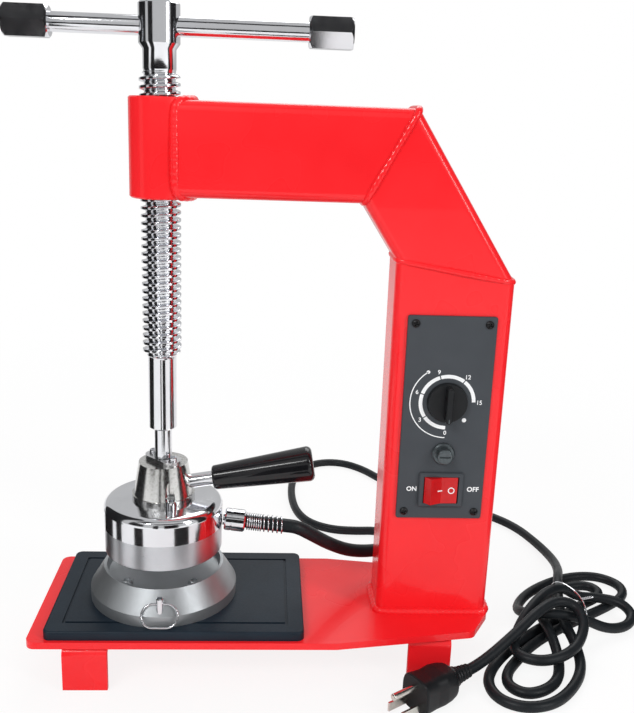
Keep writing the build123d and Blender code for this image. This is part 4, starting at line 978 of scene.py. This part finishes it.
# %% Crossed screws
HEAD_RADIUS, DOME_HEIGHT = 2.75, 1.9
SHANK_RADIUS, SHANK_DEPTH = 1.6, 6.0
SLOT_HALF_WIDTH, SLOT_REACH, SLOT_DEPTH = 0.42, 1.75, 1.1
radius = np.r_[
    np.linspace(0.0, 2.0, 22), np.linspace(2.1, HEAD_RADIUS, 6), HEAD_RADIUS,
    SHANK_RADIUS, SHANK_RADIUS,
]
across = radius[:, None]
around = np.linspace(0, 2 * np.pi, 72, endpoint=False)
dome = DOME_HEIGHT * np.sqrt(np.clip(1 - (across / (HEAD_RADIUS + 0.15)) ** 2, 0, 1))
for index in range(4):
    low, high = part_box(f"panel_screw_{index + 1}")
    middle_x, middle_z = (low.x + high.x) * 500, (low.z + high.z) * 500
    spin = math.radians(25 + 40 * index)
    arm = np.minimum(np.abs(across * np.cos(around - spin)), np.abs(across * np.sin(around - spin)))
    slot = np.clip((SLOT_HALF_WIDTH - arm) / 0.12, 0, 1) * np.clip((SLOT_REACH - across) / 0.2, 0, 1)
    proud = dome - SLOT_DEPTH * slot
    proud[-3:] = [[0.0], [0.0], [-SHANK_DEPTH]]
    head_x, head_z = middle_x + across * np.cos(around), middle_z + across * np.sin(around)
    head_points = np.stack([head_x, PANEL_FACE - proud, head_z], axis=2)
    crossed = piece(f"crossed_screw_{index + 1}", head_points / 1000, black_screw, "frame")
    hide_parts(f"panel_screw_{index + 1}")

# %% [markdown]
# ## Floor, light and background
# A product on white needs light from everywhere and a brighter side to model
# its form. The sky gives the even part, and three soft lamps add the rest. The
# camera sees the floor white, with a share of its own lit colour near the
# object, so that the shadow stays. Mirrors see the floor as it is lit. Dark
# cards that only mirrors can see put the deep stripes into the polished parts,
# as flags do in a studio.

# %% Floor
floor_finish = Finish("floor_white")
off_white = floor_finish.blend(floor_finish.grain(0.2), (0.92, 0.92, 0.92), (0.95, 0.95, 0.95))
floor_finish.wear(off_white, 0.9)
path = floor_finish.node("ShaderNodeLightPath", output="Is Camera Ray")
through = path.output("Is Transmission Ray")
white = floor_finish.node("ShaderNodeEmission", None, {"Color": (1, 1, 1, 1), "Strength": 1.0})
away = floor_finish.node(
    "ShaderNodeVectorMath", {"operation": "LENGTH"}, {0: floor_finish.place}, output=1,
)
share = (path + through) * (0.86 + 0.14 * away.above(0.75, 0.35))
lit = Wire(floor_finish, floor_finish.shader.outputs[0])
shown = floor_finish.node("ShaderNodeMixShader", None, {0: share, 1: lit, 2: white})
floor_finish.feed(floor_finish.nodes["Material Output"].inputs["Surface"], shown)


def flat_card(name, corners, material):
    """A four-cornered card that belongs to the studio, not to the object."""
    mesh = bpy.data.meshes.new(name)
    mesh.from_pydata(corners, [], [(0, 1, 2, 3)])
    mesh.materials.append(material)
    card = bpy.data.objects.new(name, mesh)
    bpy.context.scene.collection.objects.link(card)
    return card


flat_card("floor", [(-6, -6, 0), (6, -6, 0), (6, 6, 0), (-6, 6, 0)], floor_finish.material)
flag = Finish("flag_black", Roughness=1.0)
flag.wear(flag.blend(flag.grain(0.5), (0.004, 0.004, 0.005), (0.008, 0.008, 0.009)))
flags = (
    ("flag_left", (-0.36, -0.10), (-0.33, 0.20), 0.001, 0.9),
    ("flag_right", (0.33, -0.16), (0.36, 0.16), 0.001, 0.9),
    ("flag_screw", (-0.19, -0.22), (-0.27, -0.14), 0.12, 0.75),
    ("flag_cone", (-0.115, -0.22), (-0.08, -0.22), 0.07, 0.20),
    ("flag_cone_right", (-0.045, -0.22), (0.05, -0.20), 0.07, 0.20),
    ("flag_head_left", (-0.174, -0.108), (-0.140, -0.132), 0.001, 0.07),
    ("flag_head_side", (-0.219, -0.016), (-0.211, -0.051), 0.001, 0.07),
    ("flag_head_back", (-0.185, 0.096), (-0.220, 0.010), 0.001, 0.07),
    ("flag_head_right", (0.011, -0.183), (0.083, -0.129), 0.001, 0.06),
    ("flag_bar", (-0.50, -0.30), (0.50, -0.30), 0.30, 0.39),
    ("flag_above_bar", (-0.50, -0.24), (0.50, -0.24), 0.74, 1.05),
)
for name, (x, y), (far_x, far_y), foot, top in flags:
    corners = [(x, y, foot), (far_x, far_y, foot), (far_x, far_y, top), (x, y, top)]
    card = flat_card(name, corners, flag.material)
    card.visible_camera = False
    card.visible_diffuse = False
    card.visible_shadow = False
    card.visible_transmission = False
print("floor and flags placed")

# %% Lamps and sky
AIM = Vector((0.02, 0, 0.2))
for name, place, width, height, energy in (
    ("key_lamp", (-0.9, -1.3, 1.4), 0.9, 0.35, 16.0),
    ("fill_lamp", (1.3, -1.0, 0.9), 0.3, 1.0, 9.0),
    ("back_lamp", (0.3, 1.2, 1.5), 1.2, 1.0, 10.0),
):
    data = bpy.data.lights.new(name, "AREA")
    data.shape = "RECTANGLE"
    data.size = width
    data.size_y = height
    data.energy = energy
    lamp = bpy.data.objects.new(name, data)
    bpy.context.scene.collection.objects.link(lamp)
    lamp.location = place
    lamp.rotation_euler = (AIM - Vector(place)).to_track_quat("-Z", "Y").to_euler()

sky = bpy.data.worlds.new("studio_sky")
bpy.context.scene.world = sky
sky.use_nodes = True
sky_tree = Tree(sky.node_tree)
seen = sky_tree.node("ShaderNodeLightPath", output="Is Camera Ray")
bright = seen.math("MAXIMUM", seen, seen.output("Is Transmission Ray"))
strength = sky_tree.node(
    "ShaderNodeMapRange", None, {"Value": bright, "To Min": 0.55, "To Max": 1.0},
)
background = sky_tree.nodes["Background"]
sky_tree.feed(background.inputs["Color"], (1, 1, 1, 1))
sky_tree.feed(background.inputs["Strength"], strength)
bpy.context.scene.view_settings.view_transform = "Standard"
print("lamps and sky placed")
